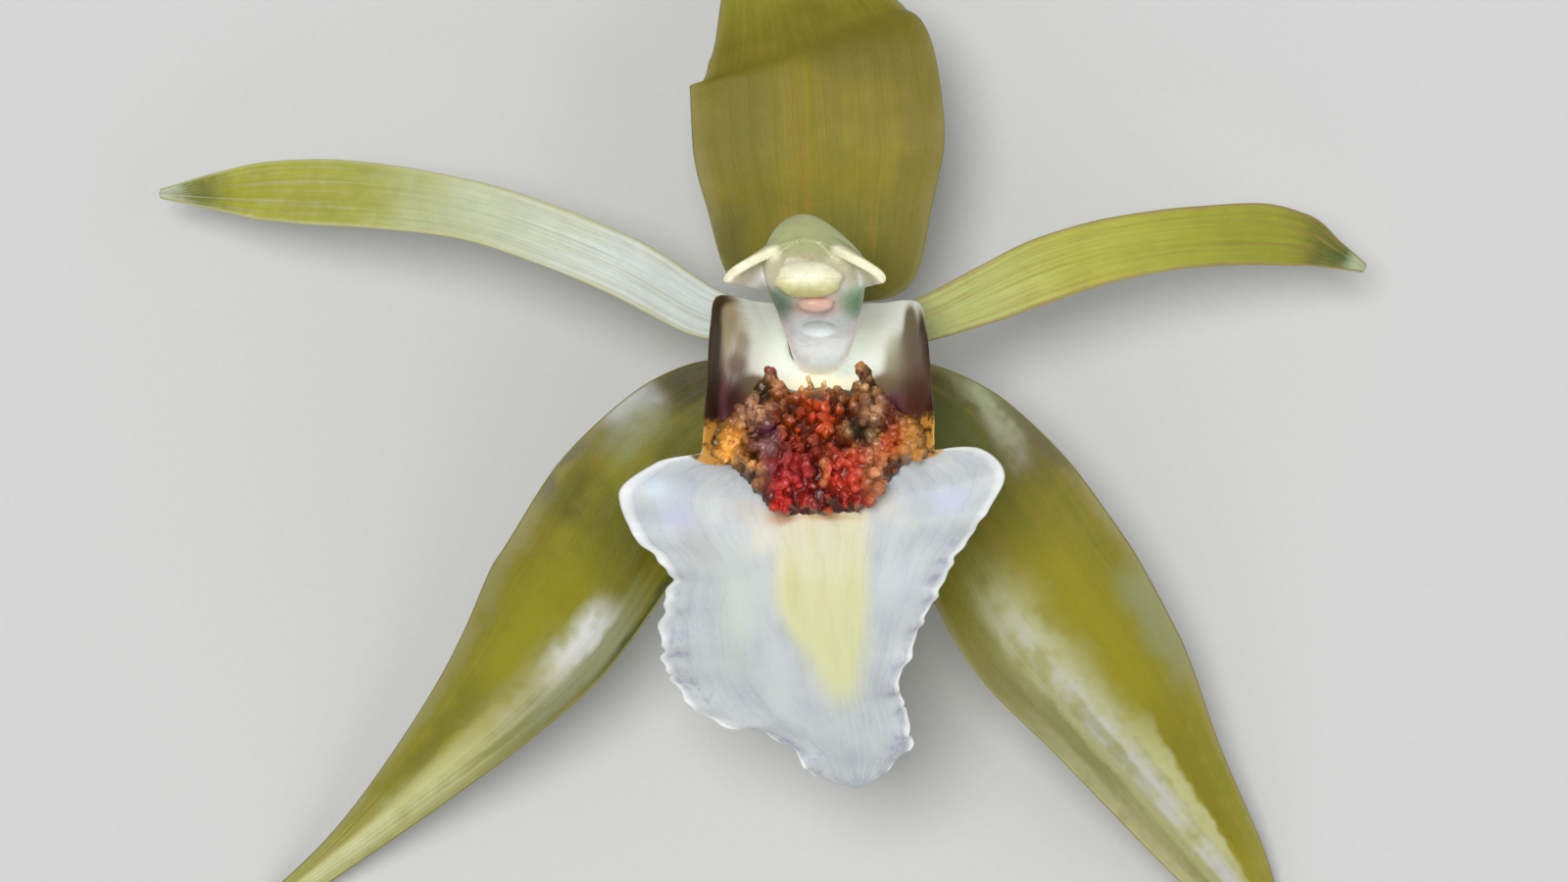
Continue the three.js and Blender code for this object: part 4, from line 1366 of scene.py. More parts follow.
@dataclass
class Lip:
    """The lip: a trough whose side walls flank the column, and a ruffled midlobe.

    Attributes:
        stations: From the base to the tip: the midline's place, the half width of the flat floor,
            the radius of the bend at the foot of the walls, the walls' angle in degrees, the half
            widths to the right and left margins, and how far the right and left ears reach back.
        frill: Depth and count of the waves along the midlobe's margin.
        phases: Phases of those waves on the right and the left.
        floor_left: How far down the midlobe, and where the yellow floor's left edge lies there.
        floor_right: The same for its right edge.
        light: Strength of the painted light, an emission that brightens the shaded foot of the trough.
        rows: Rings of points from the base to the tip.
        sides: Points in a ring.
    """

    stations: Stations
    floor_left: tuple[tuple[float, float], ...] = (
        (16.0, -3.9), (22.6, -3.9), (24.9, -3.0), (26.5, -1.8), (29.0, -0.5), (31.5, 0.6), (35.0, 2.0),
    )
    floor_right: tuple[tuple[float, float], ...] = (
        (16.0, 4.3), (25.0, 4.1), (29.0, 3.7), (31.5, 3.3), (35.0, 2.8),
    )
    frill: tuple[float, float] = (0.75, 9.0)
    phases: tuple[float, float] = (2.4, 0.6)
    light: float = 0.24
    rows: int = 310
    sides: int = 220

    def __post_init__(self) -> None:
        """Runs a track through the stations, with their angles in radians."""
        rows = np.array(self.stations, float)
        rows[:, 5] = np.radians(rows[:, 5])
        self.track = Track(rows)

    @staticmethod
    def half(row: Array, side: Array) -> Array:
        """Half width of a row of the track on the right, where side is below 0, or the left."""
        return np.where(side < 0, row[..., 6], row[..., 7])

    def middle(self, s: Array, v: Array) -> Array:
        """Middle surface: flat floor, then a bend of even radius, then a straight wall.

        The margin waves by the cube of the share across times a sine along the lip, and is toothed
        by a fiftieth of the half width. Low pleats fan out over the midlobe, and the ears lean back
        by the square of the share across.

        Args:
            s: Shares along.
            v: Shares across, below 0 on the right side.

        Returns:
            Points.
        """
        row = self.track(s)
        along = self.track.heading(s)
        across = -level(ACROSS, along)
        inward = np.cross(across, along)
        floor, bend, wall = row[..., 3], row[..., 4], row[..., 5]
        right = v < 0
        share = np.abs(v)
        phase = np.where(right, self.phases[0], self.phases[1])
        teeth = 0.7 * np.sin(2 * np.pi * 27 * s + phase) + 0.5 * np.sin(2 * np.pi * 51 * s + 2 * phase)
        fringe = 0.02 * smooth(share, 0.7, 1.0) * smooth(s, 0.53, 0.62) * smooth(1 - s, 0.0, 0.06) * teeth
        arc = share * self.half(row, v) * (1 + fringe)
        steep = np.abs(wall)
        tilt = np.clip((arc - floor) / bend, 0.0, steep)
        beyond = np.maximum(arc - floor - bend * steep, 0.0)
        aside = np.minimum(arc, floor) + bend * np.sin(tilt) + beyond * np.cos(steep)
        above = np.sign(wall) * (bend * (1 - np.cos(tilt)) + beyond * np.sin(steep))
        depth, count = self.frill
        calm = smooth(1 - s, 0.0, 0.12) * smooth(s, 0.49, 0.62)
        frill = depth * share**3 * np.sin(2 * np.pi * count * s + phase)
        frill = frill + 0.7 * depth * share**8 * np.sin(2 * np.pi * 2.6 * count * s + 3 * phase)
        pleat = 0.16 * np.sin(7.5 * v + 2.2 * np.sin(3 * s)) * share * (1 - share**3)
        ear = np.where(right, row[..., 8], row[..., 9]) * v * v
        lift = above + (frill + pleat) * calm
        return (
            row[..., :3]
            + across * (np.sign(v) * aside)[..., None]
            + inward * lift[..., None]
            - along * ear[..., None]
        )

    @staticmethod
    def depth(s: Array, v: Array) -> Array:
        """Half the thickness: 0.38 mm at the midline and 0.16 mm at the margin."""
        return 0.16 + 0.22 * (1 - v * v) + 0.02 * np.sin(24 * v + 3 * s)

    def build(self) -> Skin:
        """The lip with the marks of its yellow floor, stained walls, brown rims, throat and painted light.

        Returns:
            Its skin.
        """
        even = np.linspace(0.0, 1.0, self.rows)
        skin = leaf(self.middle, self.depth, self.depth, even, self.sides)
        s, v, facing = (skin.marks[name] for name in (Mark.ALONG, Mark.ACROSS, Mark.FRONT))
        half = self.half(self.track(s), v)
        arc, from_edge = np.abs(v) * half, (1 - np.abs(v)) * half
        walls = 1 - smooth(s, 0.36, 0.42)
        dark = walls * np.where(v < 0, smooth(s, 0.12, 0.24), smooth(s, 0.1, 0.18))
        border = np.where(v < 0, 0.9, 1.3) + 1.8 * smooth(s, 0.16, 0.26)
        foot = smooth(s, 0.02, 0.1) * (1 - smooth(s, 0.18, 0.28)) * (1 - smooth(arc, 3.0, 8.0))
        skin.marks |= {
            Mark.GOLD: smooth(s, 0.46, 0.52) * self.floor(skin.points) * facing,
            Mark.RIM: dark * (1 - smooth(from_edge / border, 0.3, 1.4)),
            Mark.THROAT: dark * (1 - smooth(from_edge, 1.5, 5.5)) * smooth(arc, 3.5, 6.0),
            Mark.AMBER: reached(skin.points, AMBER_ZONES) * (1 - smooth(s, 0.4, 0.44)),
            Mark.TISSUE: zoned(skin.points, LIP_GROUND, LIP_ZONES, 0.02),
            Mark.TIP: reached(skin.points, LIP_ZONES),
            Mark.STAIN: reached(skin.points, STAIN_ZONES) * smooth(arc, 5.0, 6.4) * facing,
            # painted light: the foot of the trough glows to lighten the shade in the throat
            Mark.LIT: self.light * foot,
        }
        return skin

    def floor(self, points: Array) -> Array:
        """How yellow the midlobe is: a smooth step in from each edge, softer further down.

        Args:
            points: Points, one row each.

        Returns:
            Shares from 0 to 1.
        """
        x, down = points[:, 0], -points[:, 1]
        low, high = (np.interp(down, *zip(*edge)) for edge in (self.floor_left, self.floor_right))
        soft = 1 + smooth(down, 21.0, 30.0)
        between = smooth((x - low) / soft, -1.2, 1.5) * smooth((high - x) / soft, -1.2, 1.5)
        return between * (1 - smooth(down, 29.0, 35.5))


LIP_GROUND = (208, 211, 219)
AMBER_ZONES = (
    Zone(-9.2, -9.8, 2.0, 2.4, strength=1.3),
    Zone(8.9, -9.2, 1.8, 2.3, strength=1.3),
)
STAIN_ZONES = (
    Zone(-8.2, -5.6, 1.9, 3.2),
    Zone(7.2, -5.9, 1.6, 3.0),
)
LIP_ZONES = (
    Zone(7.6, -2.4, 1.0, 2.6, (116, 84, 62), 0.9),
    Zone(8.4, -4.6, 1.0, 1.6, (76, 40, 22), 1.1),
    Zone(7.9, -6.6, 0.9, 1.0, (96, 38, 10), 1.0),
    Zone(7.8, 1.2, 0.5, 1.6, (112, 104, 78), 1.1),
    Zone(7.8, -1.4, 0.6, 1.6, (92, 74, 54), 1.1),
    Zone(5.4, -4.2, 1.3, 0.9, (122, 98, 62), 1.1),
    Zone(6.4, -2.6, 0.9, 1.0, (156, 154, 118), 0.8),
    # painted shade in the gap between the left wall and the crests' keel
    Zone(-5.3, -4.2, 1.2, 0.8, (112, 94, 62), 1.1),
    Zone(-7.1, -2.6, 1.1, 1.2, (132, 106, 88), 0.9),
    Zone(-6.6, -0.4, 0.9, 1.4, (180, 164, 140), 0.8),
    Zone(-7.2, -6.0, 0.9, 1.6, (78, 28, 24), 1.2),
    Zone(-6.2, -5.0, 0.7, 0.9, (116, 80, 62), 1.0),
    Zone(6.1, -6.4, 0.9, 1.2, (96, 14, 50), 1.1),
    Zone(6.4, -8.8, 0.8, 1.0, (196, 78, 44), 1.0),
    Zone(-6.1, -7.0, 0.7, 0.7, (200, 152, 140), 0.9),
    Zone(-6.0, -14.8, 1.9, 1.3, (196, 186, 174), 0.6),
    # painted shadow at the fold between the left ear and the midlobe
    Zone(-10.6, -17.6, 2.6, 2.2, (176, 177, 176), 0.7),
    Zone(2.8, -36.3, 2.6, 1.5, (174, 179, 184), 0.6),
    Zone(7.6, -21.5, 1.4, 2.4, (180, 187, 200), 0.6),
    Zone(8.6, -15.0, 1.5, 1.5, (184, 190, 184), 0.6),
    Zone(5.4, -29.5, 1.6, 2.6, (176, 181, 192), 0.5),
    Zone(6.2, -0.9, 0.8, 1.4, (206, 208, 186), 0.6),
    Zone(-3.3, -15.6, 1.0, 0.6, (178, 112, 40), 0.8),
    Zone(0.6, -15.5, 3.2, 0.4, (206, 160, 96), 0.7),
    # painted highlight: a cyan glint on the left ear
    Zone(-13.8, -13.0, 1.6, 1.2, (202, 222, 230), 0.7),
    Zone(-11.2, -13.4, 1.1, 1.0, (188, 193, 205), 0.6),
    Zone(-4.6, -17.2, 1.5, 1.9, (226, 218, 200), 0.6),
    Zone(5.4, -14.4, 1.2, 1.2, (218, 206, 192), 0.5),
    # painted shade along the folds on either side of the yellow floor
    Zone(-6.8, -23.5, 2.4, 5.5, (196, 207, 196), 0.7),
    Zone(5.9, -20.0, 1.3, 5.5, (196, 206, 202), 0.6),
    Zone(-12.4, -15.5, 1.8, 1.2, (196, 200, 226), 0.6),
    Zone(11.0, -14.0, 2.4, 1.6, (192, 197, 226), 0.6),
)


LIP = Lip(
    (
        (0, -2.95, SEAT_HEIGHT + GAP + 0.1, 0.9, 1.9, 80, 5.2, 5.2, 0, 0),
        (0, -3.0, 18.2, 0.9, 2.1, 84, 7.6, 7.6, 0, 0),
        (0, -3.3, 21.8, 1.6, 2.4, 68, 9.6, 9.8, 0, 0),
        (0, -4.1, 25.3, 2.8, 2.8, 60, 12.4, 13.0, 0, 0),
        (0, -5.6, 28.2, 4.4, 2.8, 68, 13.2, 13.8, 0, 0),
        (0, -7.5, 30.4, 6.0, 2.8, 72, 12.0, 12.4, 0, 0),
        (0, -9.5, 31.8, 7.0, 3.0, 58, 10.2, 10.6, 0, 0),
        (0, -11.2, 32.5, 7.8, 3.2, 32, 9.8, 10.2, 1.2, 0.9),
        (0.01, -12.5, 33.0, 8.6, 4.0, 10, 13.8, 13.8, 2.4, 1.6),
        (0.05, -14.2, 33.4, 9.0, 5.0, 6, 15.6, 17.0, 1.7, 1.0),
        (0.14, -16.6, 33.6, 9.0, 5.0, -4, 14.0, 15.9, 0.9, 0.3),
        (0.32, -19.8, 33.5, 8.0, 5.0, -12, 11.2, 13.1, 0, 0),
        (0.6, -23.6, 32.9, 7.0, 5.0, -16, 9.0, 14.4, 0, 0),
        (1.1, -27.4, 31.7, 6.0, 5.0, -14, 7.0, 14.7, 0, 0),
        (1.6, -30.6, 30.3, 5.0, 5.0, -12, 5.1, 12.9, 0, 0),
        (2.1, -33.2, 28.9, 4.0, 4.0, -10, 5.4, 7.6, 0, 0),
        (2.6, -35.6, 27.4, 3.0, 4.0, -8, 5.5, 4.3, 0, 0),
        (3.0, -37.6, 26.0, 2.0, 4.0, -6, 3.2, 3.3, 0, 0),
        (3.2, -38.7, 25.1, 1.0, 4.0, 0, 0.7, 0.7, 0, 0),
    )
)


# ---- crests


@dataclass(frozen=True)
class FingerRow:
    """A row of fingers on the pad.

    Attributes:
        arc: How far the row lies from the lip's midline, along the skin.
        first: Share of the pad's length where it starts.
        last: Share where it ends.
        count: How many fingers it holds.
        size: Their size against the usual.
    """

    arc: float
    first: float
    last: float
    count: int
    size: float = 1.0


@dataclass
class Crests:
    """The warty crests: a pad with three keels, set with rows of blunt fingers.

    Attributes:
        lip: The lip they stand on.
        span: Shares of the lip's length where the pad starts and ends.
        halves: Half widths of the pad at even steps between them.
        low: How far above the lip's middle surface the pad starts, just inside its skin.
        seat: How far above it the solid's pad starts.
        pad: How thick the pad is from there.
        keels: Arcs from the midline at which keels run.
        knolls: Rounded rises and hollows: arc, share along, height and radius.
        rows: Rows of fingers, laid out on both sides of the midline.
        tall: Height of a finger of the usual size.
        wide: Radius of a finger of the usual size.
        stray: How far a finger strays from its place: along the arc, and as a share along the pad.
        lean: How far a finger leans off the pad's normal at most, for a height of 1.
        bend: How far it bends at most, for a height of 1.
        voxel: Size of the faces of the fused skin.
        passes: How many times that skin is smoothed.
    """

    lip: Lip
    span: tuple[float, float] = (0.213, 0.526)
    halves: tuple[float, ...] = (4.6, 7.4, 9.6, 9.2, 7.4, 5.4, 3.2)
    low: float = LIP_BLADE / 2 - 0.15
    seat: float = 0.82
    pad: float = 0.7
    keels: tuple[float, ...] = (-3.8, 0.0, 3.8)
    knolls: tuple[tuple[float, float, float, float], ...] = (
        (-2.3, 0.7, 1.0, 1.5),
        (2.2, 0.7, 1.0, 1.6),
        (0.0, 0.2, 0.7, 1.7),
        (-4.6, 0.27, -0.8, 0.9),
        (3.2, 0.26, -0.8, 0.9),
    )
    rows: tuple[FingerRow, ...] = (
        FingerRow(9.0, 0.27, 0.5, 8, 0.9),
        FingerRow(8.0, 0.24, 0.54, 9, 0.9),
        FingerRow(7.0, 0.2, 0.62, 11, 0.95),
        FingerRow(6.0, 0.16, 0.74, 13, 1.0),
        FingerRow(5.0, 0.12, 0.84, 15, 0.95),
        FingerRow(3.9, 0.02, 0.96, 21, 1.2),
        FingerRow(2.8, 0.1, 0.99, 17, 0.95),
        FingerRow(1.7, 0.1, 0.94, 17, 1.0),
        FingerRow(0.6, 0.06, 0.98, 16, 1.0),
    )
    tall: float = 1.5
    wide: float = 0.48
    stray: tuple[float, float] = (0.32, 0.02)
    lean: float = 0.32
    bend: float = 0.25
    voxel: float = 0.105
    passes: int = 2

    def __post_init__(self) -> None:
        """Runs a track through the half widths and starts the random numbers."""
        self.half = Track([(h,) for h in self.halves])
        self.random = np.random.default_rng(SEED)

    def place(self, u: Array, arc: Array, lift: Array) -> Array:
        """Points above the lip's middle surface.

        Args:
            u: Shares of the pad's length.
            arc: Arcs from the lip's midline.
            lift: Heights above the surface.

        Returns:
            The points.
        """
        s = self.span[0] + (self.span[1] - self.span[0]) * u
        v = arc / self.lip.half(self.lip.track(s), arc)
        normal = normal_of(self.lip.middle, s, v)
        return self.lip.middle(s, v) + normal * lift[..., None]

    def keel(self, arc: Array, u: Array) -> Array:
        """Height of the keels and knolls: bells across and, for the knolls, along the pad.

        Args:
            arc: Arcs from the lip's midline.
            u: Shares of the pad's length.

        Returns:
            Heights above the plain pad.
        """
        total = np.zeros_like(arc)
        for centre in self.keels:
            start = 0.3 if centre == 0 else 0.0
            total = total + smooth(u, start, start + 0.2) * 1.3 * bump(arc, centre, 1.1)
        for centre, share, height, radius in self.knolls:
            total = total + height * bump(arc, centre, radius) * bump(u, share, radius / 11)
        return total

    def pad_back(self, u: Array, v: Array) -> Array:
        """Half the pad's thickness, which falls to a quarter of itself at its ends and sides.

        Args:
            u: Shares of the pad's length.
            v: Shares across it.

        Returns:
            How far the pad's back stands off its middle surface.
        """
        rise = (self.seat + self.pad - self.low) / 2
        ends = smooth(u, 0.0, 0.1) * (1 - smooth(u, 0.88, 1.0))
        return rise * (0.25 + 0.75 * ends * (1 - smooth(np.abs(v), 0.72, 1.0)))

    def pad_middle(self, u: Array, v: Array) -> Array:
        """Middle surface of the pad: it carries half its thickness over its lower side."""
        return self.place(u, v * self.half(u)[..., 0], self.low + self.pad_back(u, v))

    def pad_front(self, u: Array, v: Array) -> Array:
        """Half the pad's thickness, keels, knolls and lumps: a product of two sines.

        Args:
            u: Shares of the pad's length.
            v: Shares across it.

        Returns:
            How far the pad's front stands off its middle surface.
        """
        arc = v * self.half(u)[..., 0]
        lumps = 0.12 * np.sin(9 * arc / 4 + 3) * np.sin(40 * u + arc)
        return self.pad_back(u, v) + self.keel(arc, u) + lumps * (1 - np.abs(v))

    def spots(self) -> tuple[Array, Array, Array]:
        """Where the fingers stand, each a random step off its place in its row.

        Returns:
            Their arcs, their shares of the pad's length and their sizes against the usual.
        """
        arcs, shares, sizes = [], [], []
        for row in self.rows:
            for side in Side:
                arcs.append(np.full(row.count, row.arc * side.value))
                shares.append(np.linspace(row.first, row.last, row.count))
                sizes.append(np.full(row.count, row.size))
        arc, u, size = (np.concatenate(a) for a in (arcs, shares, sizes))
        size = size * np.where(np.abs(arc) < 2.5, 0.6 + 0.4 * smooth(u, 0.08, 0.2), 1.0)
        rng = self.random
        aside, along = self.stray
        arc = arc + rng.uniform(-aside, aside, len(arc))
        u = np.clip(u + rng.uniform(-along, along, len(u)), 0.01, 0.99)
        limit = self.half(u)[:, 0] - 0.2
        arc = np.clip(arc, -limit, limit)
        return arc, u, size * rng.uniform(0.7, 1.35, len(size))

    def fingers(self) -> tuple[Skin, Array, Array]:
        """Fingers like blunt clubs: stacks of rings about a line that leans and bends.

        A finger leans off the pad's normal by a random amount and bends further with the square of
        its height.

        Returns:
            All the fingers as one skin, the middles of their tips and a random number of each.
        """
        arc, u, size = self.spots()
        rng = self.random
        edge = smooth(np.abs(arc) / self.half(u)[:, 0], 0.8, 1.0)
        lift = self.seat + self.pad + 0.75 * self.keel(arc, u) - 0.7 * edge
        root = self.place(u, arc, lift)
        normal = self.place(u, arc, lift + 1.0) - root
        way = unit(normal + rng.uniform(-self.lean, self.lean, root.shape))
        aside = unit(np.cross(way, ACROSS))
        other = np.cross(way, aside)
        bend = rng.uniform(-self.bend, self.bend, (len(u), 1)) * aside
        bend = bend + rng.uniform(-self.bend, self.bend, (len(u), 1)) * other
        tall = self.tall * size * rng.uniform(0.6, 1.2, len(size))
        wide = self.wide * size * rng.uniform(0.8, 1.3, len(size))
        turn = np.arange(FINGER_SIDES)[None, :, None] / FINGER_SIDES * 2 * np.pi
        circle = np.cos(turn) * aside[:, None] + np.sin(turn) * other[:, None]
        heights = FINGER_HEIGHTS[None, :, None, None]
        up = heights * (tall[:, None] * way)[:, None, None, :]
        bent = np.maximum(heights, 0) ** 2 * (tall[:, None] * bend)[:, None, None, :]
        spread = (FINGER_RADII[None, :, None] * wide[:, None, None])[..., None] * circle[:, None]
        rings = root[:, None, None] + up + bent + spread
        skins = [tube(r, r[0].mean(0), r[-1].mean(0) + 0.08 * w) for r, w in zip(rings, way)]
        return together(skins), rings[:, -1].mean(1), rng.uniform(0.0, 1.0, len(u))

    @staticmethod
    def tints(points: Array, tips: Array, numbers: Array) -> tuple[Array, Array]:
        """How the fingers tint a point.

        Its tint is the mean of the fingers' numbers, weighted by a bell of the distance to each tip.
        Its tip mark is the largest of slightly wider bells.

        Args:
            points: Points, one row each.
            tips: Middles of the fingers' tips.
            numbers: A random number of each finger.

        Returns:
            Each point's tint and tip mark.
        """
        tints, near = [], []
        for chunk in np.array_split(points, 40):
            away = ((chunk[:, None] - tips[None]) ** 2).sum(-1)
            bell = np.exp(-away / 0.5)
            tints.append((bell @ numbers) / np.maximum(bell.sum(-1), 1e-9))
            near.append(np.exp(-away / 0.75).max(-1))
        return np.concatenate(tints), np.concatenate(near)

    def build(self) -> Skin:
        """Pad and fingers grown into one skin, coloured by zones and by finger.

        The skin is dented by products of sines, a tenth of a millimetre deep.

        Returns:
            The skin.
        """
        fingers, tips, numbers = self.fingers()
        even = np.linspace(0.0, 1.0, 60)
        bed = leaf(self.pad_middle, self.pad_front, self.pad_back, even, 96)
        skin = Bench.fuse([bed, fingers], (), self.voxel, self.passes)
        x, y, z = skin.points.T
        dent = np.sin(4.3 * x + 2.1 * z + 0.4) * np.sin(4.9 * y - 1.7 * z)
        dent = dent + 0.6 * np.sin(8.7 * x - 7.9 * y + 6.1 * z)
        skin.points = skin.points + 0.1 * dent[:, None] * unit(skin.points - skin.points.mean(0))
        tint, tip = self.tints(skin.points, tips, numbers)
        colour = zoned(skin.points, CREST_GROUND, CREST_ZONES, 0.12)
        colour = painted(colour, CREST_PALE, smooth(tint, 0.66, 0.95) * tip * 0.4)
        colour = painted(colour, CREST_DARK, (1 - smooth(tint, 0.1, 0.42)) * 0.55)
        # the tip mark sets the painted shade in the gaps between the fingers
        skin.marks = {Mark.TISSUE: colour * CREST_WARMTH, Mark.TIP: np.clip(tip * 1.25, 0.0, 1.0)}
        return skin


# Heights and radii of a finger's rings, for a height and a radius of 1.
FINGER_HEIGHTS = np.array([-0.25, 0.05, 0.4, 0.68, 0.86, 0.97])
FINGER_RADII = np.array([1.0, 0.86, 0.78, 0.84, 0.68, 0.34])
FINGER_SIDES = 9

CREST_WARMTH = np.array([1.15, 0.97, 0.62, 1.0])
CREST_GROUND = (138, 62, 30)
CREST_PALE = (240, 180, 112)
CREST_DARK = (84, 30, 14)
CREST_ZONES = (
    Zone(-0.1, -7.4, 1.9, 2.1, (206, 84, 30), 1.2),
    Zone(-0.2, -7.1, 0.9, 0.9, (186, 44, 12), 1.2),
    Zone(0.0, -4.1, 2.4, 0.6, (240, 224, 188), 1.6),
    Zone(-0.2, -15.4, 3.4, 0.8, (156, 36, 10), 2.0),
    Zone(2.0, -5.0, 0.9, 0.7, (100, 62, 28), 2.2),
    Zone(-5.6, -9.2, 0.8, 0.9, (92, 38, 30), 1.4),
    Zone(4.5, -8.4, 0.6, 0.8, (150, 124, 92), 1.2),
    Zone(0.4, -5.3, 1.6, 0.5, (150, 84, 44), 1.2),
    Zone(-4.9, -8.9, 0.9, 1.0, (104, 44, 40), 0.8),
    Zone(2.0, -8.4, 1.0, 0.9, (108, 84, 50), 0.8),
    Zone(-3.6, -2.9, 0.9, 0.9, (150, 66, 64), 1.2),
    Zone(-3.3, -4.3, 0.8, 0.9, (200, 132, 92), 1.2),
    # painted shade in the gap between the left wall and the left keel
    Zone(-4.9, -4.1, 0.9, 1.1, (92, 92, 62), 1.1),
    Zone(3.5, -2.9, 0.9, 0.8, (132, 82, 70), 1.1),
    Zone(3.8, -4.2, 0.9, 0.9, (196, 150, 108), 1.2),
    Zone(2.3, -5.4, 1.1, 0.8, (150, 100, 50), 1.1),
    Zone(-2.9, -5.9, 1.0, 1.0, (118, 68, 38), 1.0),
    Zone(-5.8, -6.9, 1.0, 1.0, (210, 170, 158), 1.2),
    Zone(4.6, -6.4, 0.9, 0.9, (204, 168, 152), 1.2),
    Zone(-7.7, -6.4, 1.1, 1.4, (84, 20, 34), 1.3),
    Zone(6.2, -6.6, 0.9, 1.0, (82, 8, 40), 1.3),
    Zone(6.1, -8.8, 0.8, 1.2, (190, 70, 40), 1.2),
    Zone(-8.3, -10.0, 1.7, 2.3, (242, 184, 92), 1.6),
    Zone(8.1, -9.3, 1.6, 2.1, (190, 142, 76), 1.6),
    Zone(-4.7, -8.3, 0.8, 0.8, (58, 6, 78), 1.3),
    Zone(-4.6, -9.5, 0.6, 0.6, (200, 160, 198), 1.2),
    Zone(-3.5, -9.9, 0.8, 0.7, (30, 12, 16), 1.2),
    Zone(2.4, -8.1, 0.7, 0.6, (122, 128, 106), 0.9),
    Zone(3.6, -8.4, 0.8, 0.8, (22, 44, 32), 1.3),
    Zone(-0.5, -9.9, 2.6, 0.9, (108, 20, 12), 1.1),
    Zone(-2.3, -11.9, 1.4, 1.7, (188, 52, 70), 1.4),
    Zone(-3.4, -13.8, 1.0, 1.2, (184, 26, 16), 1.3),
    Zone(2.1, -12.1, 1.5, 1.9, (204, 68, 58), 1.4),
    Zone(-0.3, -12.4, 0.6, 2.4, (98, 12, 6), 1.3),
    Zone(1.4, -14.2, 1.8, 0.8, (128, 14, 6), 1.1),
    Zone(4.5, -11.8, 0.8, 1.4, (226, 162, 132), 1.2),
    Zone(-5.7, -12.1, 0.9, 0.8, (226, 176, 146), 1.2),
    Zone(-6.4, -13.0, 1.2, 0.8, (190, 140, 118), 1.0),
    Zone(-3.7, -15.1, 1.0, 1.2, (166, 36, 10), 1.3),
    Zone(-2.3, -15.0, 1.0, 0.9, (186, 18, 0), 1.6),
    Zone(-3.9, -11.6, 0.7, 0.7, (106, 28, 52), 1.3),
)


# ---- column


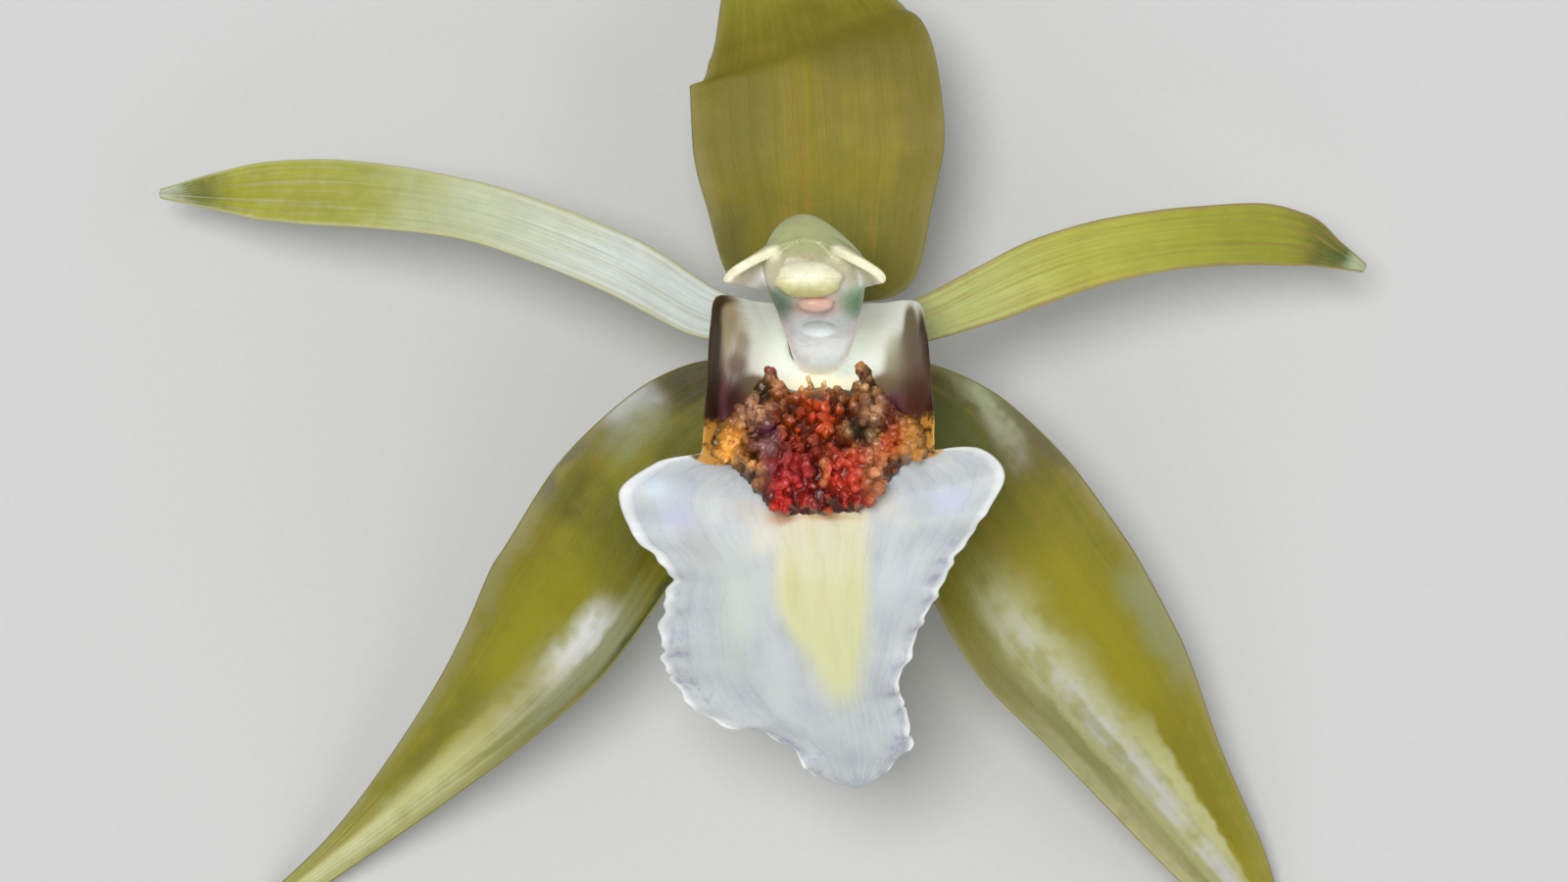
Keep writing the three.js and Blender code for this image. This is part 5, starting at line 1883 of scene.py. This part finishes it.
@dataclass
class Column:
    """The column with its hood, rostellum and stigma, grown into one skin.

    Attributes:
        sections: Level sections from the seat to the apex: height, where the middle stands across
            the flower, half width, and how far the front and the back reach along Y.
        hood_rows: The hood from its root to its rim: height, where the arch stands across the
            flower, where its tips stand along it, its half width and its rise.
        light: Strength of the painted light, an emission that brightens its shaded lower part.
        voxel: Size of the faces of the fused skin.
        passes: How many times that skin is smoothed.
    """

    sections: Stations = (
        (SEAT_HEIGHT, 0.0, 2.2, -2.1, 2.4),
        (18.5, 0.0, 2.2, -2.2, 2.8),
        (22.3, 0.0, 2.3, -2.5, 3.8),
        (26.1, 0.0, 2.6, -3.6, 5.4),
        (29.9, 0.1, 3.2, -2.8, 7.8),
        (33.0, -0.1, 3.9, -0.5, 9.7),
        (35.6, -0.5, 4.2, 1.4, 9.9),
        (37.4, -1.0, 3.6, 2.7, 8.4),
        (38.2, -1.2, 1.8, 3.8, 6.2),
    )
    hood_rows: Stations = (
        (30.6, -0.4, 3.0, 2.5, 3.2),
        (34.2, -0.8, 3.4, 3.6, 5.4),
        (37.2, -1.1, 3.8, 5.3, 4.2),
        (39.4, -1.3, 4.0, 6.6, 2.7),
    )
    light: float = 0.26
    voxel: float = 0.12
    passes: int = 4

    def shaft(self) -> Skin:
        """The shaft: ellipses, squared in front by the power 0.6 of the cosine and narrowed behind.

        Returns:
            Its skin.
        """
        track = Track(self.sections)
        s, turn = np.meshgrid(np.linspace(0, 1, 90), np.arange(96) / 96, indexing="ij")
        row = track(s)
        aside, depth = np.cos(2 * np.pi * turn), np.sin(2 * np.pi * turn)
        broad = np.where(depth < 0, np.sign(aside) * np.abs(aside) ** 0.6, aside)
        mid, reach = (row[..., 3] + row[..., 4]) / 2, (row[..., 4] - row[..., 3]) / 2
        behind = smooth(depth, 0.0, 1.0)
        middle = row[..., 1] - 0.9 * behind * smooth(row[..., 0], 28.0, 33.0)
        x = middle + row[..., 2] * broad * (1 - 0.2 * behind)
        rings = np.stack([x, mid + reach * depth, row[..., 0]], -1)
        return tube(rings, rings[0].mean(0), rings[-1].mean(0))

    def hood(self, u: Array, v: Array) -> Array:
        """Middle surface of the hood: a wing round the back of the apex, notched over its crown.

        Its arch falls from the crown by a power of the share across, 1.7 at its root and 1.2 at its
        rim. Its tips droop, its crown leans back, and its rim is uneven by a few tenths of a
        millimetre.

        Args:
            u: Shares from the root to the rim.
            v: Shares across.

        Returns:
            Points.
        """
        row = Track(self.hood_rows)(u)
        crown = bump(v, 0.0, 0.36) * smooth(u, 0.35, 1.0)
        arch = row[..., 4] * (1 - np.abs(v) ** (1.7 - 0.5 * u)) + 0.7 * crown
        tooth = 0.14 * np.sin(13 * v + 0.6) * smooth(u, 0.6, 1.0)
        height = row[..., 0] - 0.8 * v * v * u - 1.9 * crown + tooth
        return np.stack([row[..., 1] - row[..., 3] * np.sin(np.pi / 2 * v), row[..., 2] + arch, height], -1)

    @staticmethod
    def hood_depth(u: Array, v: Array) -> Array:
        """Half the hood's thickness: 0.45 mm at its root and 0.4 mm at its rim."""
        return 0.45 - 0.05 * smooth(u, 0.55, 1.0) + 0 * v

    def build(self) -> Skin:
        """Shaft, hood and rostellum in one, with the hollow of the stigma cut out of the shaft.

        Returns:
            The skin.
        """
        hood = leaf(self.hood, self.hood_depth, self.hood_depth, np.linspace(0, 1, 50), 120)
        parts = [self.shaft(), hood, egg(*ROSTELLUM)]
        skin = Bench.fuse(parts, [egg(*STIGMA)], self.voxel, self.passes)
        skin.marks = {
            Mark.TISSUE: self.colours(skin.points),
            Mark.TIP: np.ones(len(skin.points)),
            # painted light: the lower part glows to lighten the shade deep in the throat
            Mark.LIT: self.light * (1 - smooth(skin.points[:, 2], 29.0, 34.5)),
        }
        return skin

    def colours(self, points: Array) -> Array:
        """The zones' colours, then by smooth steps along Y and Z the shaft, the back and the painted shade
        under the hood.

        The hood's rim is covered by e to the minus fourth power of the distance from it, in widths.

        Args:
            points: Points, one row each.

        Returns:
            Linear colours, four numbers a row.
        """
        y, z = points[:, 1], points[:, 2]
        share = np.linspace(0.28, 1.0, 40)
        rim = self.hood(np.ones(80), np.concatenate([-share, share]))
        away = np.sqrt(((points[:, None] - rim[None]) ** 2).sum(-1).min(1))
        # painted shade under the hood, between its wings and the anther cap
        inside = smooth(z, 35.6, 37.4) * smooth(y, 2.9, 4.4) * (1 - smooth(y, 6.0, 7.2))
        layers = (
            (COLUMN_SHAFT, (1 - smooth(z, 29.5, 33.5)) * smooth(y, -1.5, 0.5)),
            (COLUMN_BACK, smooth(y, 4.6, 6.6) * smooth(z, 31.0, 34.0) * 0.9),
            (HOOD_POCKET_SHADE, inside * 0.8),
            (HOOD_RIM, np.exp(-((away / 0.8) ** 4))),
        )
        colours = zoned(points, COLUMN_GROUND, COLUMN_ZONES, 0.35)
        for colour, cover in layers:
            colours = painted(colours, colour, cover)
        return colours


# Middles and half sizes of two ellipsoids.
ROSTELLUM = (np.array([-0.4, 2.35, 37.2]), np.array([1.5, 0.8, 0.8]))
STIGMA = (np.array([-0.1, -0.35, 35.15]), np.array([2.4, 1.3, 1.9]))

COLUMN_GROUND = (240, 241, 236)
COLUMN_SHAFT = (238, 240, 228)
COLUMN_BACK = (162, 168, 100)
# painted shade under the hood
HOOD_POCKET_SHADE = (188, 180, 142)
HOOD_RIM = (246, 240, 206)
COLUMN_ZONES = (
    Zone(-0.4, 2.3, 1.5, 0.8, (208, 150, 126), 2.0),
    # painted shade: the dark green hollows on either side of the rostellum, under the anther cap
    Zone(-3.7, 2.4, 1.2, 1.0, (68, 114, 80), 3.0),
    Zone(3.3, 2.5, 1.3, 0.9, (88, 140, 84), 2.4),
    # painted shade at the top of the stigma, under the rostellum
    Zone(0.0, 0.5, 1.9, 0.9, (192, 208, 208), 1.3),
    # painted highlight: a cyan-white glint on the column's front
    Zone(0.3, -2.3, 1.0, 0.7, (232, 255, 244), 1.6),
    Zone(-3.1, -1.0, 0.7, 1.4, (238, 204, 212), 1.2),
    Zone(3.3, -1.0, 0.7, 1.4, (238, 204, 212), 1.2),
    Zone(0.1, -0.9, 2.0, 1.4, (244, 250, 248), 1.6),
    Zone(0.0, -3.5, 2.4, 0.5, (250, 244, 224), 1.4),
)


@dataclass
class AntherCap:
    """The anther cap: a rounded cushion with a groove between its two lobes and a blunt beak.

    Attributes:
        centre: Its middle.
        half: Its half sizes.
    """

    centre: Array = field(default_factory=lambda: ANTHER_CENTRE)
    half: Array = field(default_factory=lambda: ANTHER_HALF)

    def build(self) -> Skin:
        """A sphere's grid, pinched by a bell along its middle and drawn out at its lower front.

        Its front is squared by the power 0.65 of the share across.

        Returns:
            The skin.
        """
        up = np.linspace(-0.5, 0.5, 62)[1:-1, None] * np.pi
        turn = np.arange(96)[None, :] / 96 * 2 * np.pi
        x, y, z = np.cos(up) * np.cos(turn), np.cos(up) * np.sin(turn), np.sin(up) + 0 * turn
        pinch = 1 - 0.13 * bump(x, 0.0, 0.16) * smooth(z, -0.4, 0.5)
        beak = 1 + 0.06 * bump(x, 0.0, 0.4) * smooth(-y, 0.2, 1.0) * (1 - smooth(z, 0.0, 0.6))
        side = (1 + 0.05 * np.sin(6 * turn) * np.cos(up)) * np.where(y < 0, np.abs(x) ** -0.35, 1.0)
        ball = np.stack([x * side, y * beak * pinch, z * pinch], -1)
        rings = self.centre + ball * self.half
        grid = rings.shape[:2]
        colour = zoned(rings.reshape(-1, 3), ANTHER_GROUND, ANTHER_ZONES, 0.4).reshape(*grid, 4)
        marks = {Mark.TISSUE: colour, Mark.TIP: np.ones(grid)}
        return tube(rings, rings[0].mean(0), rings[-1].mean(0), marks)


ANTHER_GROUND = (240, 236, 196)
ANTHER_ZONES = (
    Zone(-2.6, 3.2, 1.4, 0.7, (196, 192, 118), 1.4),
    Zone(-1.0, 2.9, 1.4, 0.6, (198, 196, 128), 1.2),
    Zone(0.8, 3.2, 1.3, 0.7, (206, 202, 130), 1.4),
    Zone(-1.2, 4.8, 1.5, 0.8, (255, 254, 226), 1.2),
)


# ---- ovary and stalk


@dataclass
class Stalk:
    """The six-ribbed ovary under its flared collar, and the stalk that lies along the surface.

    Attributes:
        stations: From the collar to the cut: the middle's place, the radius and the ribs' depth as
            a share of it.
        cut: The rings of the cut end: their radii as shares of the last, and how far each is sunk.
        rows: Rings of points before those of the cut.
        sides: Points in a ring.
    """

    stations: Stations = (
        (0.0, 0.0, SEAT_HEIGHT, 4.7, 0.0),
        (0.0, 0.0, SEAT_HEIGHT - 0.9, 4.4, 0.02),
        (0.0, 0.3, 12.0, 2.7, 0.08),
        (0.0, 0.5, 9.4, 2.35, 0.1),
        (0.0, 0.0, 6.4, 2.35, 0.1),
        (0.1, -2.2, 3.9, 2.15, 0.1),
        (0.3, -5.6, 2.5, 1.9, 0.07),
        (0.6, -10.0, 1.75, 1.65, 0.03),
        (1.0, -16.0, 1.25, 1.5, 0.0),
        (1.5, -22.0, 1.25, 1.5, 0.0),
        (2.1, -28.0, 1.25, 1.5, 0.0),
        (2.7, -33.5, 1.25, 1.5, 0.0),
    )
    cut: tuple[tuple[float, float], ...] = ((0.86, 0.04), (0.5, 0.14), (0.2, 0.1))
    rows: int = 240
    sides: int = 108

    def build(self) -> Skin:
        """Rings round the stalk, ribbed by a cosine of six turns, and a shallow cup at the cut.

        Returns:
            The skin.
        """
        track = Track(self.stations)
        radii, sunk = zip(*self.cut)
        even = np.append(np.linspace(0.0, 1.0, self.rows), np.ones(len(self.cut)))
        s, turn = np.meshgrid(even, np.arange(self.sides) / self.sides, indexing="ij")
        inset = np.append(np.ones(self.rows), radii)[:, None]
        cup = np.append(np.zeros(self.rows), sunk)[:, None, None]
        row = track(s)
        along = track.heading(s)
        across = level(ACROSS, along)
        over = np.cross(along, across)
        angle = 2 * np.pi * turn
        ribs = 1 + row[..., 4] * np.cos(6 * angle) + 0.012 * np.cos(18 * angle) * (s > 0.12)
        swell = 1 + 0.02 * np.sin(31 * s + 2 * np.sin(9 * s))
        reach = row[..., 3] * ribs * inset * np.where(s > 0.1, swell, 1.0)
        rings = row[..., :3] + across * (reach * np.cos(angle))[..., None]
        rings = rings + over * (reach * np.sin(angle))[..., None] - along * cup
        rings[..., 2] = np.maximum(rings[..., 2], 0.0)
        marks = {
            Mark.ALONG: s * 3,
            Mark.ACROSS: np.abs(turn - 0.5) * 2,
            Mark.TIP: 1 - smooth(s, 0.0, 0.1),
            Mark.CUT: np.broadcast_to(1 - smooth(inset, 0.85, 0.95), s.shape),
        }
        return tube(rings, rings[0].mean(0), rings[-1].mean(0), marks)


# ---- the flower


@dataclass
class Flower:
    """Writes skins into the scene in the part's frame.

    Attributes:
        shift: From the flower's millimetres to the part's.
    """

    shift: Array = field(default_factory=lambda: Flower.find_shift())

    @staticmethod
    def find_shift() -> Array:
        """How far the middle of the anther cap's box stands from its place in the flower."""
        low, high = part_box("anther_cap")
        return (np.array(low) + np.array(high)) / 2 / MM - ANTHER_CENTRE

    def place(self, name: str, skin: Skin, material: bpy.types.Material, node: str, slot: str) -> None:
        """Makes a piece of a skin, rides it on the part and lets it stand for a solid.

        Args:
            name: Name of the piece.
            skin: Its closed skin.
            material: Its finish.
            node: The solid it stands for.
            slot: Its material slot; not used.
        """
        mesh = bpy.data.meshes.new(name)
        mesh.from_pydata(((skin.points + self.shift) * MM).tolist(), [], skin.polygons())
        for mark, values in skin.marks.items():
            kind, key = ("FLOAT_COLOR", "color") if mark is Mark.TISSUE else ("FLOAT", "value")
            layer = mesh.attributes.new(mark.value, kind, "POINT")
            layer.data.foreach_set(key, np.ascontiguousarray(values, np.float32).ravel())
        mesh.polygons.foreach_set("use_smooth", np.ones(len(mesh.polygons), bool))
        mesh.materials.append(material)
        mesh.update()
        piece = bpy.data.objects.new(name, mesh)
        bpy.context.scene.collection.objects.link(piece)
        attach(piece, "root")
        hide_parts(node)
        log.info("%s: %d faces", name, len(mesh.polygons))


def tepals() -> list[Tepal]:
    """The five tepals: three broad sepals and two petals with slighter waves.

    Returns:
        The tepals, from the top sepal to the right petal.
    """
    sepal = partial(Tepal, slot="sepal", ripple=(0.35, 2.2, 1.4))
    petal = partial(Tepal, slot="petal", ripple=(0.12, 2.0, 1.0), grooves=(3.0, 0.025), crease=0.12)
    dorsal = partial(sepal, grooves=(6.0, 0.035), crease=0.18)
    lateral = partial(sepal, grooves=(5.0, 0.035), crease=0.0)
    left = lateral_finish("left_lateral_skin", LATERAL_BANDS_LEFT)
    right = lateral_finish("right_lateral_skin", LATERAL_BANDS_RIGHT)
    return [
        dorsal("dorsal", "dorsal_sepal", stations=DORSAL_SEPAL, finish=DORSAL_FINISH),
        lateral("lateral_left", "left_lateral_sepal", stations=LEFT_LATERAL, finish=left),
        lateral("lateral_right", "right_lateral_sepal", stations=RIGHT_LATERAL, finish=right),
        petal("petal_left", "left_petal", stations=LEFT_PETAL, finish=LEFT_PETAL_FINISH),
        petal("petal_right", "right_petal", stations=RIGHT_PETAL, finish=RIGHT_PETAL_FINISH),
    ]


# the crests keep 0.16 of their brightness at the fingers' roots, as painted shade
CREST_FINISH = FleshFinish("crest_tissue", (92, 36, 16), 0.6, 0.55, 0.16, 0.34, 0.12, 0.26)
# the column glows with painted light on its shaded lower part
COLUMN_FINISH = FleshFinish("column_tissue", (196, 170, 150), 0.1, 0.6, 0.3, 0.36, 0.3, 0.2, lit=True)
ANTHER_FINISH = FleshFinish("anther_tissue", (214, 190, 110), 0.15, 0.5, 0.3, 0.34, 0.3, 0.2)


# ---- studio


@dataclass(frozen=True)
class Softbox:
    """A large soft light that looks at the flower.

    Attributes:
        name: Its name.
        place: Where it stands, in metres.
        size: Its width in metres.
        power: Its power in watts.
        tint: Its colour.
    """

    name: str
    place: tuple[float, float, float]
    size: float
    power: float
    tint: Colour = (255, 255, 255)

    def hang(self) -> None:
        """Hangs the light, turned to the flower."""
        light = bpy.data.lights.new(self.name, "AREA")
        light.shape, light.size, light.energy = "DISK", self.size, self.power
        light.color = linear(self.tint)[:3]
        made = bpy.data.objects.new(self.name, light)
        made.location = self.place
        aim = Vector((0.0, 0.0, 0.02)) - made.location
        made.rotation_euler = aim.to_track_quat("-Z", "Y").to_euler()
        bpy.context.scene.collection.objects.link(made)


@dataclass(frozen=True)
class Studio:
    """A pale floor, soft lights and a camera that looks straight down at the flower's face.

    Attributes:
        camera_height: How high the camera stands, in metres.
        aim: The place under it, in the flower's millimetres.
        lens: Its focal length in millimetres.
        floor_half: Half the floor's width in metres.
        paper_tints: The two greys of the floor.
        sky: Colour of the light from all round.
        sky_strength: Its strength.
        lights: The lights.
    """

    camera_height: float = 0.4
    aim: tuple[float, float] = (-3.03, -9.10)
    lens: float = 100.0
    floor_half: float = 3.0
    paper_tints: tuple[Colour, Colour] = ((206, 206, 204), (212, 212, 210))
    sky: Colour = (226, 229, 232)
    sky_strength: float = 0.38
    lights: tuple[Softbox, ...] = (
        Softbox("key", (-0.12, 0.1, 0.88), 0.36, 5.0),
        Softbox("fill", (0.62, -0.12, 0.55), 0.7, 1.4, (244, 248, 255)),
        Softbox("low", (-0.1, -0.75, 0.5), 0.7, 1.2, (255, 250, 242)),
    )

    def set_up(self, shift: Array) -> None:
        """Builds the studio round the part.

        Args:
            shift: From the flower's millimetres to the part's.
        """
        scene = bpy.context.scene
        half = self.floor_half
        mesh = bpy.data.meshes.new("floor")
        corners = [(-half, -half, 0.0), (half, -half, 0.0), (half, half, 0.0), (-half, half, 0.0)]
        mesh.from_pydata(corners, [], [(0, 1, 2, 3)])
        mesh.materials.append(self.paper())
        floor = bpy.data.objects.new("floor", mesh)
        scene.collection.objects.link(floor)
        for light in self.lights:
            light.hang()
        world = bpy.data.worlds.new("studio")
        world.use_nodes = True
        background = world.node_tree.nodes["Background"]
        background.inputs["Color"].default_value = linear(self.sky)
        background.inputs["Strength"].default_value = self.sky_strength
        scene.world = world
        camera = bpy.data.cameras.new("camera")
        camera.lens = self.lens
        seen = bpy.data.objects.new("camera", camera)
        across, along = ((a + b) * MM for a, b in zip(self.aim, shift))
        seen.location = (across, along, self.camera_height)
        scene.collection.objects.link(seen)
        scene.camera = seen
        scene.view_settings.view_transform = "Standard"

    def paper(self) -> bpy.types.Material:
        """Plain pale paper with a faint grain.

        Returns:
            The finished material.
        """
        graph = Graph("floor_paper")
        grain = graph.noise(0.6)
        body = graph.blend(*self.paper_tints, grain)
        return graph.finish(body, 0.85, grain, 0.02, {"Specular IOR Level": 0.2})


def main() -> None:
    """Builds the flower piece by piece and the studio round it."""
    logging.basicConfig(level=logging.INFO, format="%(name)s: %(message)s")
    flower = Flower()
    pieces = [(tepal.name, tepal, tepal.finish, tepal.node, tepal.slot) for tepal in tepals()] + [
        ("labellum", LIP, LipFinish(), "lip", "lip"),
        ("crests", Crests(LIP), CREST_FINISH, "lip_crests", "crest"),
        ("gynostemium", Column(), COLUMN_FINISH, "column", "column"),
        ("anther", AntherCap(), ANTHER_FINISH, "anther_cap", "anther"),
        ("pedicel", Stalk(), StalkFinish(), "ovary_and_stalk", "stalk"),
    ]
    for name, part, finish, node, slot in pieces:
        flower.place(name, part.build(), finish.material(), node, slot)
    Studio().set_up(flower.shift)


if __name__ == "__main__":
    main()
